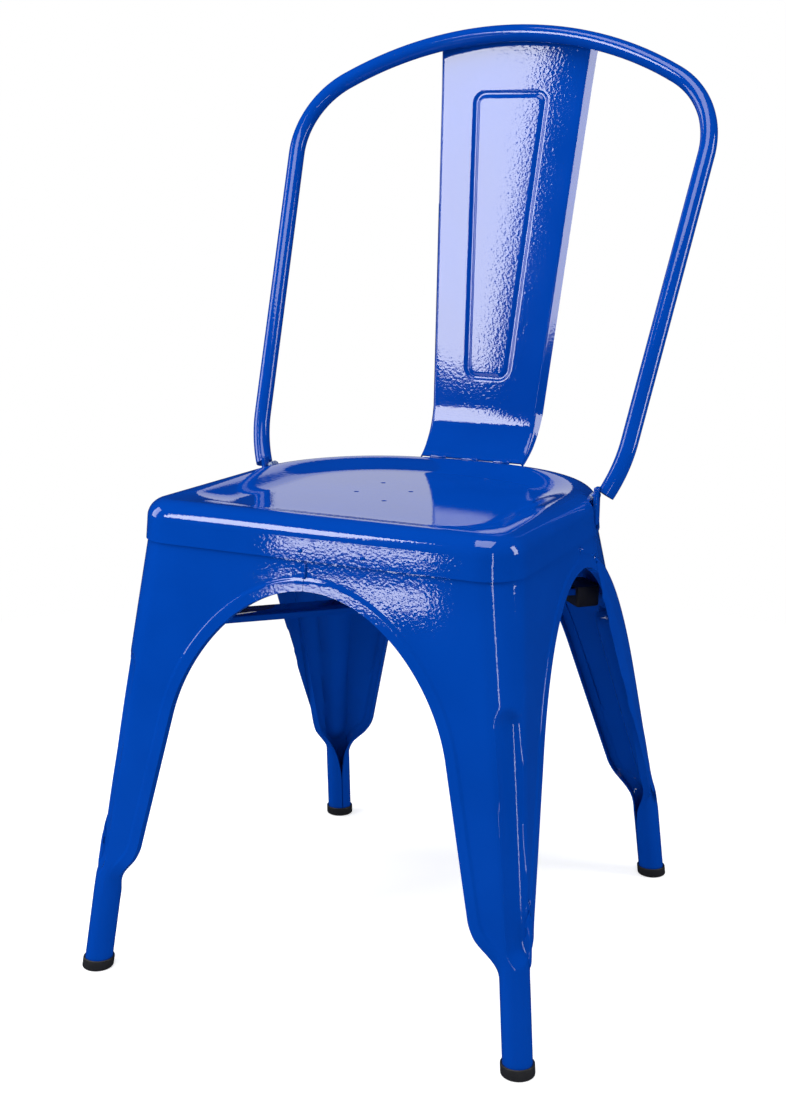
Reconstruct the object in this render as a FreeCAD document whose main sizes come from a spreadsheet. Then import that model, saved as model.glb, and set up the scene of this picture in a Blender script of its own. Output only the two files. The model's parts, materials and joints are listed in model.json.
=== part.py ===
import FreeCAD, Part
import Sketcher
import math
import os

# Metal bistro chair, millimetres. +Z is up, a sitter faces -Y, and +X is to the right for someone
# who looks at the chair's front. Pieces called right are on that side. The origin is on the
# floor, on the mirror plane, midway between the outermost front and rear points.

doc = FreeCAD.newDocument("bistro_chair")
V = FreeCAD.Vector

# Driving dimensions
SIZES = [
    # Seat pan: outline at the lower edge of the skirt, then the rim and the dished top
    ("seat_sheet", 1.5),
    ("seat_half_width", 175.0),
    ("seat_taper", 1.3),
    ("seat_front", 191.0),
    ("seat_front_corner", 34.0),
    ("seat_rear_corner", 144.0),
    ("seat_rear_corner_y", 2.0),
    ("seat_rear_edge", 273.0),
    ("seat_rim_height", 433.5),
    ("seat_skirt", 35.0),
    ("seat_wall_lean", 3.0),
    ("seat_rim_radius", 17.0),
    ("dish_margin", 21.0),
    ("dish_depth", 7.5),
    ("dish_slope", 30.0),
    ("dish_corner", 34.0),
    ("crest_round", 30.0),
    ("bowl_round", 60.0),
    ("drain_hole", 5.0),
    ("drain_x", -18.5),
    ("drain_turn", 27.0),
    ("drain_short_arm", 25.0),
    ("drain_long_arm", 43.0),
    ("drain_y", -19.0),
    # Pockets in the skirt that take the flattened ends of the back hoop
    ("pocket_width", 24.0),
    ("pocket_depth", 27.0),
    ("pocket_drop", 5.0),
    ("pocket_ahead", 4.8),
    # Legs: pressed corner pieces, each rolled into a tube at its foot
    ("leg_sheet", 1.5),
    ("leg_fit", 0.2),
    ("leg_under_rim", 3.0),
    ("front_seam_x", 6.0),
    ("seam_gap", 0.3),
    ("seam_past", 12.0),
    ("front_foot_x", 208.5),
    ("front_foot_y", 224.5),
    ("rear_foot_x", 185.0),
    ("rear_foot_y", 208.0),
    ("foot_tube_radius", 12.7),
    ("foot_tube_top", 86.0),
    ("shoulder_bottom", 66.0),
    ("shoulder_flare", 13.0),
    ("leg_lap", 4.0),
    ("tube_ease", 0.05),
    ("seam_y", -21.0),
    ("flange_depth", 7.0),
    ("band_width", 10.0),
    ("band_height", 1.1),
    ("slit_width", 5.0),
    ("slit_bottom", 46.0),
    # Arches between the legs: drops below the rim, then half widths from the arch's middle line
    ("arch_drop", 60.5),
    ("side_arch_drop", 58.5),
    ("arch_fullness", 0.47),
    ("arm_top_drop", 183.5),
    ("arm_bottom", 125.0),
    ("shoulder", 70.0),
    ("front_arm_top", 132.3),
    ("front_arm_bottom", 160.5),
    ("rear_arm_top", 101.0),
    ("rear_arm_bottom", 137.0),
    ("side_arm_top", 126.0),
    ("side_front_arm_bottom", 175.3),
    ("side_rear_arm_bottom", 175.3),
    # Long dent pressed into each leg's corner
    ("dent_radius", 18.0),
    ("dent_depth", 6.5),
    ("dent_top_drop", 149.5),
    ("dent_bottom", 106.0),
    # Crossed braces under the seat, and the rubber blocks for stacking
    ("brace_drop", 107.5),
    ("brace_width", 32.0),
    ("brace_height", 6.0),
    ("brace_sheet", 1.6),
    ("brace_round", 1.5),
    ("brace_fit", 0.2),
    ("brace_overshoot", 25.0),
    ("bumper_length", 24.0),
    ("bumper_wall", 3.5),
    ("bumper_inset", 19.0),
    ("bumper_cap", 1.8),
    ("bumper_drop", 12.0),
    ("bumper_fit", 0.1),
    ("bumper_round", 3.0),
    # Back hoop: a bent tube in one leaning plane
    ("hoop_radius", 8.0),
    ("hoop_wall", 1.2),
    ("hoop_foot_ahead", 118.1),
    ("hoop_foot_drop", 7.5),
    ("hoop_foot_out", 2.0),
    ("hoop_lean", 24.7),
    ("hoop_half_width", 213.8),
    ("hoop_height", 456.4),
    ("hoop_crown", 341.0),
    ("hoop_corner", 83.5),
    ("hoop_foot_bend", 154.0),
    ("hoop_foot_turn", 19.8),
    ("hoop_cut", 6.0),
    ("tongue_width", 9.0),
    ("tongue_thickness", 4.0),
    ("tongue_length", 34.0),
    ("tongue_drop", 28.0),
    ("tongue_inset", 5.5),
    # Back splat: a tapered pressed panel
    ("splat_sheet", 1.5),
    ("splat_top_half", 78.6),
    ("splat_waist_half", 56.0),
    ("splat_top_drop", 9.6),
    ("splat_waist_rise", 46.5),
    ("splat_waist_back", 34.4),
    ("splat_toe_inset", 15.9),
    ("splat_clear", 0.3),
    ("splat_fit", 0.06),
    ("splat_flange", 9.5),
    ("splat_flare", 3.6),
    ("splat_toe_flange", 3.0),
    ("panel_top_half", 36.5),
    ("panel_foot_half", 21.0),
    ("panel_top_drop", 56.6),
    ("panel_foot_rise", 31.0),
    ("panel_corner", 9.0),
    ("bead_width", 7.0),
    ("bead_depth", 1.0),
    # Foot caps
    ("cap_radius", 14.4),
    ("cap_height", 10.0),
    ("cap_floor", 3.0),
    ("cap_fit", 0.15),
    ("cap_edge", 1.8),
    # Weld beads
    ("weld_bead", 2.2),
    ("weld_run", 26.0),
    ("weld_end", 0.8),
    ("hoop_weld_inset", 7.5),
    ("hoop_weld_back", 2.0),
    ("hoop_weld_drop", 3.5),
    ("hoop_weld_radius", 3.8),
    ("top_weld_x", 42.0),
    ("foot_weld_x", 34.0),
    ("spot_left_x", -10.0),
    ("spot_right_x", 48.0),
    ("spot_rise", 8.0),
    ("spot_radius", 3.2),
]

sheet = doc.addObject("Spreadsheet::Sheet", "Sizes")
for row, (alias, value) in enumerate(SIZES, start=1):
    sheet.set("A%d" % row, alias)
    sheet.set("B%d" % row, str(value))
    sheet.setAlias("B%d" % row, alias)
doc.recompute()


def size(alias):
    return float(sheet.get(alias))


def below_rim(alias):
    """Height of a place that is given by its drop below the seat's rim."""
    return size("seat_rim_height") - size(alias)


# Heights and places that follow from the sizes
skirt_z = below_rim("seat_skirt")
leg_top_z = below_rim("seat_rim_radius") - size("seat_sheet") - size("leg_under_rim")
brace_z = below_rim("brace_drop")
taper = math.radians(size("seat_taper"))
hoop_lean = math.radians(size("hoop_lean"))
WIDE = 4 * size("seat_half_width")
NODES = []


def keep(obj, name):
    """Give a finished sub-part its label and put it on the list of nodes."""
    obj.Label = name
    NODES.append(obj)
    return obj


def feature(name, shape):
    """A sub-part whose form is worked out here from the sheet's values."""
    obj = doc.addObject("Part::Feature", name)
    obj.Shape = shape
    obj.Placement = FreeCAD.Placement()
    return obj


def mirrored_x(shape):
    return shape.mirror(V(0, 0, 0), V(1, 0, 0))


def arc(a, b, c):
    return Part.Arc(a, b, c).toShape()


def line(a, b):
    return Part.LineSegment(a, b).toShape()


def bezier(points):
    curve = Part.BezierCurve()
    curve.setPoles(points)
    return curve.toShape()


def chain(points):
    return [line(a, b) for a, b in zip(points, points[1:])]


# Seat outline. Its sides draw together towards the rear by the taper.


def side_x(at_middle, y):
    """Where a tapered side lies at depth y, from where it crosses the chair's middle."""
    return at_middle - y * math.tan(taper)


def rear_edge_reach():
    """Distance from the rear corner's centre to the seat's rear edge on the mirror plane."""
    swing = size("seat_rear_edge") - size("seat_rear_corner")
    return size("seat_rear_edge") - math.sqrt(swing ** 2 - seat_corner_x() ** 2)


def seat_corner_x():
    """Distance of the rear corner's centre from the mirror plane."""
    side = side_x(size("seat_half_width"), size("seat_rear_corner_y"))
    return side - size("seat_rear_corner") / math.cos(taper)


def on_circle(cx, cy, radius, angle, z):
    return V(cx + radius * math.sin(angle), cy + radius * math.cos(angle), z)


def seat_half_outline(inset, z, round_front=1.0):
    """Right half of the seat's outline, moved inwards by inset: rear middle to front middle."""
    front, r_front = size("seat_front"), size("seat_front_corner")
    r_rear, y_rear, r_edge = size("seat_rear_corner"), size("seat_rear_corner_y"), size("seat_rear_edge")
    cx = seat_corner_x()
    turn = math.asin(cx / (r_edge - r_rear))
    cy = y_rear - (r_edge - r_rear) * math.cos(turn)
    side = math.pi / 2 - taper
    rf = max(r_front - inset, round_front)
    fy = rf + inset - front
    fx = side_x(size("seat_half_width"), fy) - (rf + inset) / math.cos(taper)
    rear = [on_circle(cx, y_rear, r_rear - inset, a, z) for a in (turn, (turn + side) / 2, side)]
    corner = [on_circle(fx, fy, rf, a, z) for a in (side, (side + math.pi) / 2, math.pi)]
    return [
        arc(on_circle(0, cy, r_edge - inset, 0, z), on_circle(0, cy, r_edge - inset, turn / 2, z), rear[0]),
        arc(*rear),
        line(rear[2], corner[0]),
        arc(*corner),
        line(corner[2], V(0, fy - rf, z)),
    ]


def seat_outline(inset, z, round_front=1.0):
    right = seat_half_outline(inset, z, round_front)
    left = [mirrored_x(edge) for edge in reversed(right)]
    return Part.Wire(right + left)


def seat_block(depth):
    """The seat's outer form, moved inwards by depth, as a solid with its rounded rim and dish."""
    bottom, top = skirt_z, size("seat_rim_height") - depth
    lean = size("seat_wall_lean")
    extra = 0.0 if depth == 0 else size("seat_rim_radius") / 3
    rate = lean / size("seat_skirt")
    low = seat_outline(depth - rate * extra, bottom - extra)
    high = seat_outline(depth + rate * (top - bottom), top)
    block = Part.makeLoft([low, high], True, True)
    rim = [e for e in block.Edges if all(abs(v.Z - top) < 0.01 for v in e.Vertexes)]
    block = block.makeFillet(size("seat_rim_radius") - depth, rim)
    # The dish is a shallow bowl with sloping sides, eased into the rim and into its own floor.
    margin = lean + size("dish_margin")
    slope, sink = size("dish_slope"), size("dish_depth")
    floor = top - sink
    mouth = seat_outline(margin - slope / sink, top + 1.0, size("dish_corner"))
    base = seat_outline(margin + slope, floor, size("dish_corner"))
    bowl = Part.makeLoft([mouth, base], True, True)
    dished = block.cut(bowl)
    crest = [e for e in dished.Edges if is_dish_edge(e, top, margin)]
    foot = [e for e in dished.Edges if is_dish_edge(e, floor, margin + slope)]
    dished = dished.makeFillet(size("crest_round") - depth, crest)
    foot = [e for e in dished.Edges if is_dish_edge(e, floor, margin + slope)]
    return dished.makeFillet(size("bowl_round") + depth, foot)


def is_dish_edge(edge, height, inset):
    """True for an edge of the dish at this height that runs round the seat's middle."""
    level = all(abs(v.Z - height) < 0.02 for v in edge.Vertexes)
    inside = edge.BoundBox.XMax < side_x(size("seat_half_width"), -size("seat_front")) - inset + 1.5
    return level and inside and edge.BoundBox.ZLength < 0.02


def hoop_foot_y():
    """Where the hoop's plane meets its foot, ahead of the seat's rear edge."""
    return size("seat_rear_corner_y") + rear_edge_reach() - size("hoop_foot_ahead")


def pocket_y():
    return hoop_foot_y() - size("pocket_ahead")


def hoop_pocket(side):
    """A U-shaped opening in the skirt at the foot of the hoop."""
    middle, half = pocket_y(), size("pocket_width") / 2
    top = below_rim("pocket_drop")
    low = top - size("pocket_depth") + half
    x0 = side_x(size("seat_half_width"), middle) - 2 * size("pocket_drop") - size("seat_wall_lean")
    wire = Part.Wire([
        line(V(x0, middle - half, top), V(x0, middle - half, low)),
        arc(V(x0, middle - half, low), V(x0, middle, low - half), V(x0, middle + half, low)),
        line(V(x0, middle + half, low), V(x0, middle + half, top)),
        line(V(x0, middle + half, top), V(x0, middle - half, top)),
    ])
    tool = Part.Face(wire).extrude(V(WIDE, 0, 0))
    return tool if side > 0 else mirrored_x(tool)


def make_seat():
    thickness = size("seat_sheet")
    pan = seat_block(0.0).cut(seat_block(thickness))
    # The drain holes stand at the ends of a cross that is turned in the dish.
    middle, turn = V(size("drain_x"), size("drain_y"), skirt_z), math.radians(size("drain_turn"))
    short = V(math.cos(turn), math.sin(turn), 0) * size("drain_short_arm")
    long = V(-math.sin(turn), math.cos(turn), 0) * size("drain_long_arm")
    for arm in (short, -short, long, -long):
        hole = Part.makeCylinder(size("drain_hole") / 2, size("seat_rim_height"), middle + arm, V(0, 0, 1))
        pan = pan.cut(hole)
    for side in (1, -1):
        pan = pan.cut(hoop_pocket(side))
    return pan


keep(feature("SeatPan", make_seat()), "seat_pan")


# Legs


def leg_faces(front):
    """Where a leg's outer faces lie: offsets at the skirt's edge and the lean of each face.

    The side face is tapered like the seat's, and its offset is taken at the chair's middle.
    """
    inside = size("seat_sheet") + size("leg_fit")
    tube = size("foot_tube_radius")
    foot_y = size("front_foot_y" if front else "rear_foot_y")
    middle = size("front_foot_x" if front else "rear_foot_x") + tube / math.cos(taper)
    foot_x = middle + (-foot_y if front else foot_y) * math.tan(taper)
    rear_y = size("seat_rear_corner_y") + rear_edge_reach()
    top_x = size("seat_half_width") - inside / math.cos(taper)
    top_y = (size("seat_front") if front else rear_y) - inside
    return top_x, top_y, (foot_x - top_x) / skirt_z, (foot_y + tube - top_y) / skirt_z


def leg_share(z):
    """0 at the skirt's edge and above, 1 where the leg's corner is as tight as its foot tube."""
    return max((skirt_z - z) / (skirt_z - size("shoulder_bottom")), 0.0)


def leg_corner(front, z):
    """Radius of the leg's outer corner at height z; inside the skirt it follows the seat's wall."""
    wide = size("seat_front_corner" if front else "seat_rear_corner") - size("seat_sheet") - size("leg_fit")
    return wide + (size("foot_tube_radius") - wide) * leg_share(z) - skirt_inset(z)


def skirt_inset(z):
    return size("seat_wall_lean") * max(z - skirt_z, 0.0) / size("seat_skirt")


def leg_corner_centre(front, x, y, r, turn):
    """Centre of the corner's arc, which touches the tapered side face and the other face."""
    if front:
        return side_x(x, r - y) - r / math.cos(taper), r - y
    reach = x * math.cos(taper) - r - (y - r) * math.sin(taper)
    cx = reach / (math.cos(taper) - math.tan(turn / 2) * math.sin(taper))
    return cx, y - r - cx * math.tan(turn / 2)


def rear_turn(z):
    """Half the angle of the rear face's bow, which flattens towards the foot."""
    swing = size("seat_rear_edge") - size("seat_rear_corner")
    return max(math.asin(seat_corner_x() / swing) * (1.0 - leg_share(z)), 0.02)


def leg_section(front, near, depth, z, reach):
    """Closed outline of a leg's block at height z: two faces and the round corner between."""
    top_x, top_y, lean_x, lean_y = leg_faces(front)
    fall = max(skirt_z - z, 0.0)
    x = top_x + lean_x * fall - (skirt_inset(z) + depth) / math.cos(taper)
    y = top_y + lean_y * fall - skirt_inset(z) - depth
    r = max(leg_corner(front, z) - depth, 1.0)
    turn = rear_turn(z)
    cx, cy = leg_corner_centre(front, x, y, r, turn)
    past = size("seam_y") + (reach - size("seam_gap") / 2 if front else size("seam_gap") / 2 - reach)
    side = math.pi / 2 - taper
    start_angle = math.pi if front else turn
    tangents = [on_circle(cx, cy, r, a, z) for a in (start_angle, (start_angle + side) / 2, side)]
    end = V(side_x(x, past), past, z)
    near_x = near - reach
    if front:
        start = V(near_x, -y, z)
        face = line(start, tangents[0])
    else:
        bow = r + cx / math.sin(turn)
        start = V(near_x, y - bow + math.sqrt(bow ** 2 - near_x ** 2), z)
        face = arc(start, on_circle(0, y - bow, bow, turn / 2, z), tangents[0])
    inner = V(near_x, past, z)
    return Part.Wire([face, arc(*tangents), line(tangents[2], end), line(end, inner), line(inner, start)])


def leg_block(front, near, depth, reach):
    """The space inside a leg's outer faces, moved inwards by depth and inwards past its seams."""
    margin = size("seam_past") if reach else 0.0
    heights = (size("shoulder_bottom") - margin, skirt_z, leg_top_z + margin)
    return Part.makeLoft([leg_section(front, near, depth, z, reach) for z in heights], True, True)


def arch_outline(apex, arm_top, arm_bottom, tube_edge, foot_edge, grow):
    """Half of an arch opening, widened by grow, as edges drawn (across, height) from the middle."""
    z1, z2, z3 = below_rim("arm_top_drop"), size("arm_bottom"), size("shoulder")
    rate = (arm_bottom - arm_top) / (z1 - z2)
    rise = (apex - z1) / 2
    fall = (z2 - z3) / 3
    past, low = -WIDE / 8, -z3
    up, along = V(0, grow, 0), V(grow, 0, 0)
    square = V(1, rate, 0).normalize() * grow
    top = [V(0, apex, 0) + up, V(size("arch_fullness") * arm_top, apex, 0) + up,
           V(arm_top - rate * rise, z1 + rise, 0) + square, V(arm_top, z1, 0) + square]
    arm = [V(arm_bottom, z2, 0) + square, V(arm_bottom + rate * fall, z2 - fall, 0) + square,
           V(tube_edge, z3 + fall, 0) + along, V(tube_edge, z3, 0) + along]
    corner = V(past, apex, 0) + up
    return [line(corner, top[0]), bezier(top), line(top[-1], arm[0]), bezier(arm)] + chain(
        [arm[-1], V(foot_edge, low, 0) + along, V(past, low, 0), corner])


def arch_prisms(front, grow):
    """Prisms of the front (or rear) arch and the side arch, widened by grow."""
    top_x, top_y, lean_x, lean_y = leg_faces(front)
    across = 2 * size("foot_tube_radius")
    seam = size("seam_y") if front else -size("seam_y")
    ends = []
    for z in (size("shoulder"), -size("shoulder")):
        y = top_y + lean_y * (skirt_z - z)
        x = side_x(top_x + lean_x * (skirt_z - z), across / 2 - y if front else y - across / 2)
        ends.append((x - across, y - across + seam))
    arm_top = size("front_arm_top" if front else "rear_arm_top")
    arm_bottom = size("front_arm_bottom" if front else "rear_arm_bottom")
    side_arm_bottom = size("side_front_arm_bottom" if front else "side_rear_arm_bottom")
    across_outline = (below_rim("arch_drop"), arm_top, arm_bottom, ends[0][0], ends[1][0])
    side_outline = (below_rim("side_arch_drop"), size("side_arm_top"), side_arm_bottom, ends[0][1], ends[1][1])
    faces = []
    for outline in (across_outline, side_outline):
        face = Part.Face(Part.Wire(arch_outline(*outline, grow)))
        face.rotate(V(0, 0, 0), V(1, 0, 0), 90)
        faces.append(face)
    first = faces[0].extrude(V(0, -WIDE if front else WIDE, 0))
    faces[1].rotate(V(0, 0, 0), V(0, 0, 1), -90 if front else 90)
    faces[1].translate(V(0, size("seam_y"), 0))
    return first.fuse(faces[1].extrude(V(WIDE, 0, 0)))


def foot_axis(front):
    """The leg tube's centre on the floor and the direction that it climbs in."""
    top_x, top_y, lean_x, lean_y = leg_faces(front)
    sign = -1 if front else 1
    foot = V(size("front_foot_x" if front else "rear_foot_x"),
             sign * size("front_foot_y" if front else "rear_foot_y"), 0)
    return foot, V(sign * lean_y * math.tan(taper) - lean_x, -sign * lean_y, 1)


def round_bar(foot, up, z0, r0, z1, r1):
    """A bar that leans with the leg, cut level at both ends, with its own radius at each."""
    ends = [Part.Wire(Part.makeCircle(r, foot + up * z)) for z, r in ((z0, r0), (z1, r1))]
    return Part.makeLoft(ends, True, True)


def corner_reach(front, z):
    """How far the leg's corner stands out from the line of its tube at height z."""
    tight = size("foot_tube_radius")
    return tight - (leg_corner(front, z) - tight) * (math.sqrt(2) - 1)


def dent_tool(front, grow):
    """A long round-ended plug that follows the leg's corner and presses into it."""
    foot, up = foot_axis(front)
    out = V(1, -1 if front else 1, 0).normalize()
    push = size("dent_radius") - size("dent_depth")
    low, high = (foot + up * z + out * (push + corner_reach(front, z))
                 for z in (size("dent_bottom"), below_rim("dent_top_drop")))
    radius = size("dent_radius") + grow
    body = Part.makeCylinder(radius, (high - low).Length, low, high - low)
    return body.fuse([Part.makeSphere(radius, low), Part.makeSphere(radius, high)])


def above(z):
    """Everything over height z."""
    return Part.makeBox(WIDE, WIDE, WIDE, V(-WIDE / 2, -WIDE / 2, z))


def make_leg(front, near):
    """Right-hand leg: sheet, arches with turned and raised edges, corner dent, foot tube."""
    sheet, r = size("leg_sheet"), size("foot_tube_radius") - size("tube_ease")
    reach, lap = size("seam_past"), size("leg_lap")
    foot, up = foot_axis(front)
    join, seat = size("foot_tube_top"), size("cap_floor")
    low = size("shoulder_bottom")
    cone = round_bar(foot, up, low, r - 1.0, join + lap, r + size("shoulder_flare"))
    zone = above(join).fuse(cone)
    band = arch_prisms(front, size("band_width"))
    skin = leg_block(front, near, 0.0, 0.0)
    skin = skin.fuse(leg_block(front, near, -size("band_height"), 0.0).common(band)).common(zone)
    skin = skin.cut(dent_tool(front, 0.0))
    skin = skin.fuse(round_bar(foot, up, seat, r, low + 2 * lap, r))
    hollow = leg_block(front, near, sheet, reach).cut(arch_prisms(front, sheet))
    hollow = hollow.fuse(leg_block(front, near, size("flange_depth"), reach))
    hollow = hollow.common(above(join)).cut(dent_tool(front, sheet))
    leg = skin.cut(hollow).cut(arch_prisms(front, 0.0))
    leg = leg.cut(round_bar(foot, up, seat - lap, r - sheet, join + 1.0, r - sheet))
    inward = V(-1, 1 if front else -1, 0).normalize()
    across = V(-inward.y, inward.x, 0) * (size("slit_width") / 2)
    a, b = foot + up * size("slit_bottom"), foot + up * (join + lap / 2)
    wedge = Part.Face(Part.Wire(chain([a, b - across, b + across, a])))
    return leg.cut(wedge.extrude(inward * (3 * r)))


for front, row in ((True, "front"), (False, "rear")):
    half_gap = size("seam_gap") / 2
    right = make_leg(front, half_gap - size("front_seam_x") if front else half_gap)
    left = make_leg(front, half_gap + size("front_seam_x")) if front else right
    keep(feature("Leg" + row.capitalize() + "Right", right), "leg_%s_right" % row)
    keep(feature("Leg" + row.capitalize() + "Left", mirrored_x(left)), "leg_%s_left" % row)


# Pieces drawn as sketches


def driven(obj, **bound):
    """Bind an object's properties to the sheet."""
    for name, formula in bound.items():
        obj.setExpression(name.replace("__", "."), formula)


def plane_of(body, role):
    return [f for f in body.Origin.OriginFeatures if f.Role == role][0]


def sketch_on(body, name, role, height=0.0):
    sketch = body.newObject("Sketcher::SketchObject", name)
    sketch.AttachmentSupport = [(plane_of(body, role), "")]
    sketch.MapMode = "FlatFace"
    sketch.AttachmentOffset = FreeCAD.Placement(V(0, 0, height), FreeCAD.Rotation())
    return sketch


def circle(sketch, centre, alias, extra=""):
    """A circle whose radius is bound to the sheet, with its centre held at a point."""
    radius = size(alias)
    index = sketch.addGeometry(Part.Circle(centre, V(0, 0, 1), radius))
    sketch.addConstraint(Sketcher.Constraint("DistanceX", -1, 1, index, 3, centre.x))
    sketch.addConstraint(Sketcher.Constraint("DistanceY", -1, 1, index, 3, centre.y))
    rule = sketch.addConstraint(Sketcher.Constraint("Radius", index, radius))
    sketch.setExpression("Constraints[%d]" % rule, "Sizes.%s%s" % (alias, extra))


def polygon(sketch, corners):
    """A closed run of lines whose corners are held by distances from the origin."""
    first = sketch.GeometryCount
    for a, b in zip(corners, corners[1:] + corners[:1]):
        sketch.addGeometry(Part.LineSegment(a, b))
    count = len(corners)
    for i in range(count):
        after = first + (i + 1) % count
        sketch.addConstraint(Sketcher.Constraint("Coincident", first + i, 2, after, 1))
        sketch.addConstraint(Sketcher.Constraint("DistanceX", -1, 1, first + i, 1, corners[i].x))
        sketch.addConstraint(Sketcher.Constraint("DistanceY", -1, 1, first + i, 1, corners[i].y))


def rectangle(sketch, x0, z0, x1, z1):
    polygon(sketch, [V(x0, z0, 0), V(x1, z0, 0), V(x1, z1, 0), V(x0, z1, 0)])


# Back hoop: one tube bent in a leaning plane, with a flat tongue at each end


def hoop_point(cx, cy, radius, angle):
    return V(cx + radius * math.cos(angle), cy + radius * math.sin(angle), 0)


def hoop_side(side_lean):
    """The hoop's straight side and foot bend for one lean of the side: shoulder, start, bend, end."""
    corner, bend = size("hoop_corner"), size("hoop_foot_bend")
    cx, cy = hoop_corner_centre()
    turn = math.radians(size("hoop_foot_turn"))
    shoulder = hoop_point(cx, cy, corner, -side_lean)
    down = V(-math.sin(side_lean), -math.cos(side_lean), 0)
    side = V(-math.cos(side_lean), math.sin(side_lean), 0)
    swings = [down * (bend * math.sin(a)) + side * (bend * (1 - math.cos(a))) for a in (turn / 2, turn)]
    start = shoulder + down * ((shoulder.y + swings[1].y - size("hoop_cut")) / -down.y)
    return shoulder, start, start + swings[0], start + swings[1]


def hoop_corner_centre():
    crown, corner = size("hoop_crown"), size("hoop_corner")
    cx = size("hoop_half_width") - corner
    return cx, size("hoop_height") - crown + math.sqrt((crown - corner) ** 2 - cx ** 2)


def hoop_path():
    """Right half of the tube's centre line in its own plane, from the crown down to the foot.

    The side leans in by just enough for the foot to land beside the seat's rim.
    """
    crown, height = size("hoop_crown"), size("hoop_height")
    target = side_x(size("seat_half_width"), hoop_foot_y()) + size("hoop_foot_out")
    low, high = math.radians(-20), math.radians(30)
    for _ in range(50):
        lean = (low + high) / 2
        low, high = (lean, high) if hoop_side(lean)[3].x > target else (low, lean)
    cx, cy = hoop_corner_centre()
    phi = math.atan2(cy - height + crown, cx)
    apex, meet = V(0, height, 0), hoop_point(0, height - crown, crown, phi)
    shoulder, start, bend, end = hoop_side(lean)
    return [
        Part.Arc(apex, hoop_point(0, height - crown, crown, (math.pi / 2 + phi) / 2), meet),
        Part.Arc(meet, hoop_point(cx, cy, size("hoop_corner"), (phi - lean) / 2), shoulder),
        Part.LineSegment(shoulder, start),
        Part.Arc(start, bend, end),
    ]


def flipped(curve):
    """The same curve on the other side of the middle line."""
    if isinstance(curve, Part.LineSegment):
        a, b = curve.StartPoint, curve.EndPoint
        return Part.LineSegment(V(-a.x, a.y, 0), V(-b.x, b.y, 0))
    a, b = curve.StartPoint, curve.EndPoint
    m = curve.value((curve.FirstParameter + curve.LastParameter) / 2)
    return Part.Arc(V(-a.x, a.y, 0), V(-m.x, m.y, 0), V(-b.x, b.y, 0))


def make_hoop():
    body = doc.addObject("PartDesign::Body", "BackHoop")
    path = sketch_on(body, "HoopLine", "XZ_Plane")
    curves = hoop_path()
    for curve in curves + [flipped(c) for c in curves]:
        path.addGeometry(curve)
    profile = sketch_on(body, "HoopSection", "YZ_Plane")
    circle(profile, V(0, size("hoop_height"), 0), "hoop_radius")
    circle(profile, V(0, size("hoop_height"), 0), "hoop_radius", " - Sizes.hoop_wall")
    doc.recompute()
    pipe = body.newObject("PartDesign::AdditivePipe", "HoopTube")
    pipe.Profile = profile
    pipe.Spine = (path, ["Edge%d" % (i + 1) for i in range(len(path.Geometry))])
    doc.recompute()
    body.Placement = FreeCAD.Placement(V(0, hoop_foot_y(), below_rim("hoop_foot_drop")),
                                       FreeCAD.Rotation(V(1, 0, 0), -size("hoop_lean")))
    tongues = []
    for side, name in ((1, "TongueRight"), (-1, "TongueLeft")):
        tongue = doc.addObject("Part::Box", name)
        driven(tongue, Length="Sizes.tongue_thickness", Width="Sizes.tongue_width",
               Height="Sizes.tongue_length")
        inner = side_x(size("seat_half_width"), pocket_y()) - size("tongue_inset")
        x = inner if side > 0 else -inner - size("tongue_thickness")
        tongue.Placement.Base = V(x, pocket_y() - size("tongue_width") / 2, below_rim("tongue_drop"))
        tongues.append(tongue)
    whole = doc.addObject("Part::MultiFuse", "HoopWithTongues")
    whole.Shapes = [body] + tongues
    doc.recompute()
    return whole


hoop = keep(make_hoop(), "back_hoop")


# Back splat: one pressed channel, wider at the top, that curves forward onto the seat's rim


def crown_point():
    """Middle of the tube at the top of the hoop."""
    up = V(0, math.sin(hoop_lean), math.cos(hoop_lean))
    return V(0, hoop_foot_y(), below_rim("hoop_foot_drop")) + up * size("hoop_height")


def splat_toe():
    toe_y = size("seat_rear_corner_y") + rear_edge_reach() - size("splat_toe_inset")
    return V(0, toe_y, below_rim("splat_sheet"))


def splat_waist():
    """Where the splat's curved toe ends and its straight part begins."""
    return V(0, splat_toe().y + size("splat_waist_back"), size("seat_rim_height") + size("splat_waist_rise"))


def splat_lean():
    """The straight part's lean, which brings its front face up behind the hoop's tube."""
    reach = crown_point() - splat_waist()
    return math.atan2(reach.y, reach.z) + math.asin((size("hoop_radius") + size("splat_fit")) / reach.Length)


def splat_stations():
    """(y, z, direction up the splat) at heights from the toe to above the hoop."""
    lean = splat_lean()
    up = V(0, math.sin(lean), math.cos(lean))
    ahead = V(0, -math.cos(lean), math.sin(lean))
    waist = splat_waist()
    chord = splat_toe() - waist
    radius = chord.dot(chord) / (2 * chord.dot(ahead))
    centre = waist + ahead * radius
    sweep = 2 * math.asin(chord.Length / (2 * radius))
    steps = 6
    stations = []
    for i in range(steps, 0, -1):
        angle = sweep * i / steps
        point = centre - ahead * (radius * math.cos(angle)) - up * (radius * math.sin(angle))
        stations.append((point, up * math.cos(angle) - ahead * math.sin(angle)))
    stations.append((waist, up))
    stations.append((waist + up * size("hoop_height"), up))
    return stations


def splat_half_width(z):
    waist, high = splat_waist().z, crown_point().z - size("splat_top_drop")
    rate = (size("splat_top_half") - size("splat_waist_half")) / (high - waist)
    return size("splat_waist_half") + rate * (max(z, waist) - waist)


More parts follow.
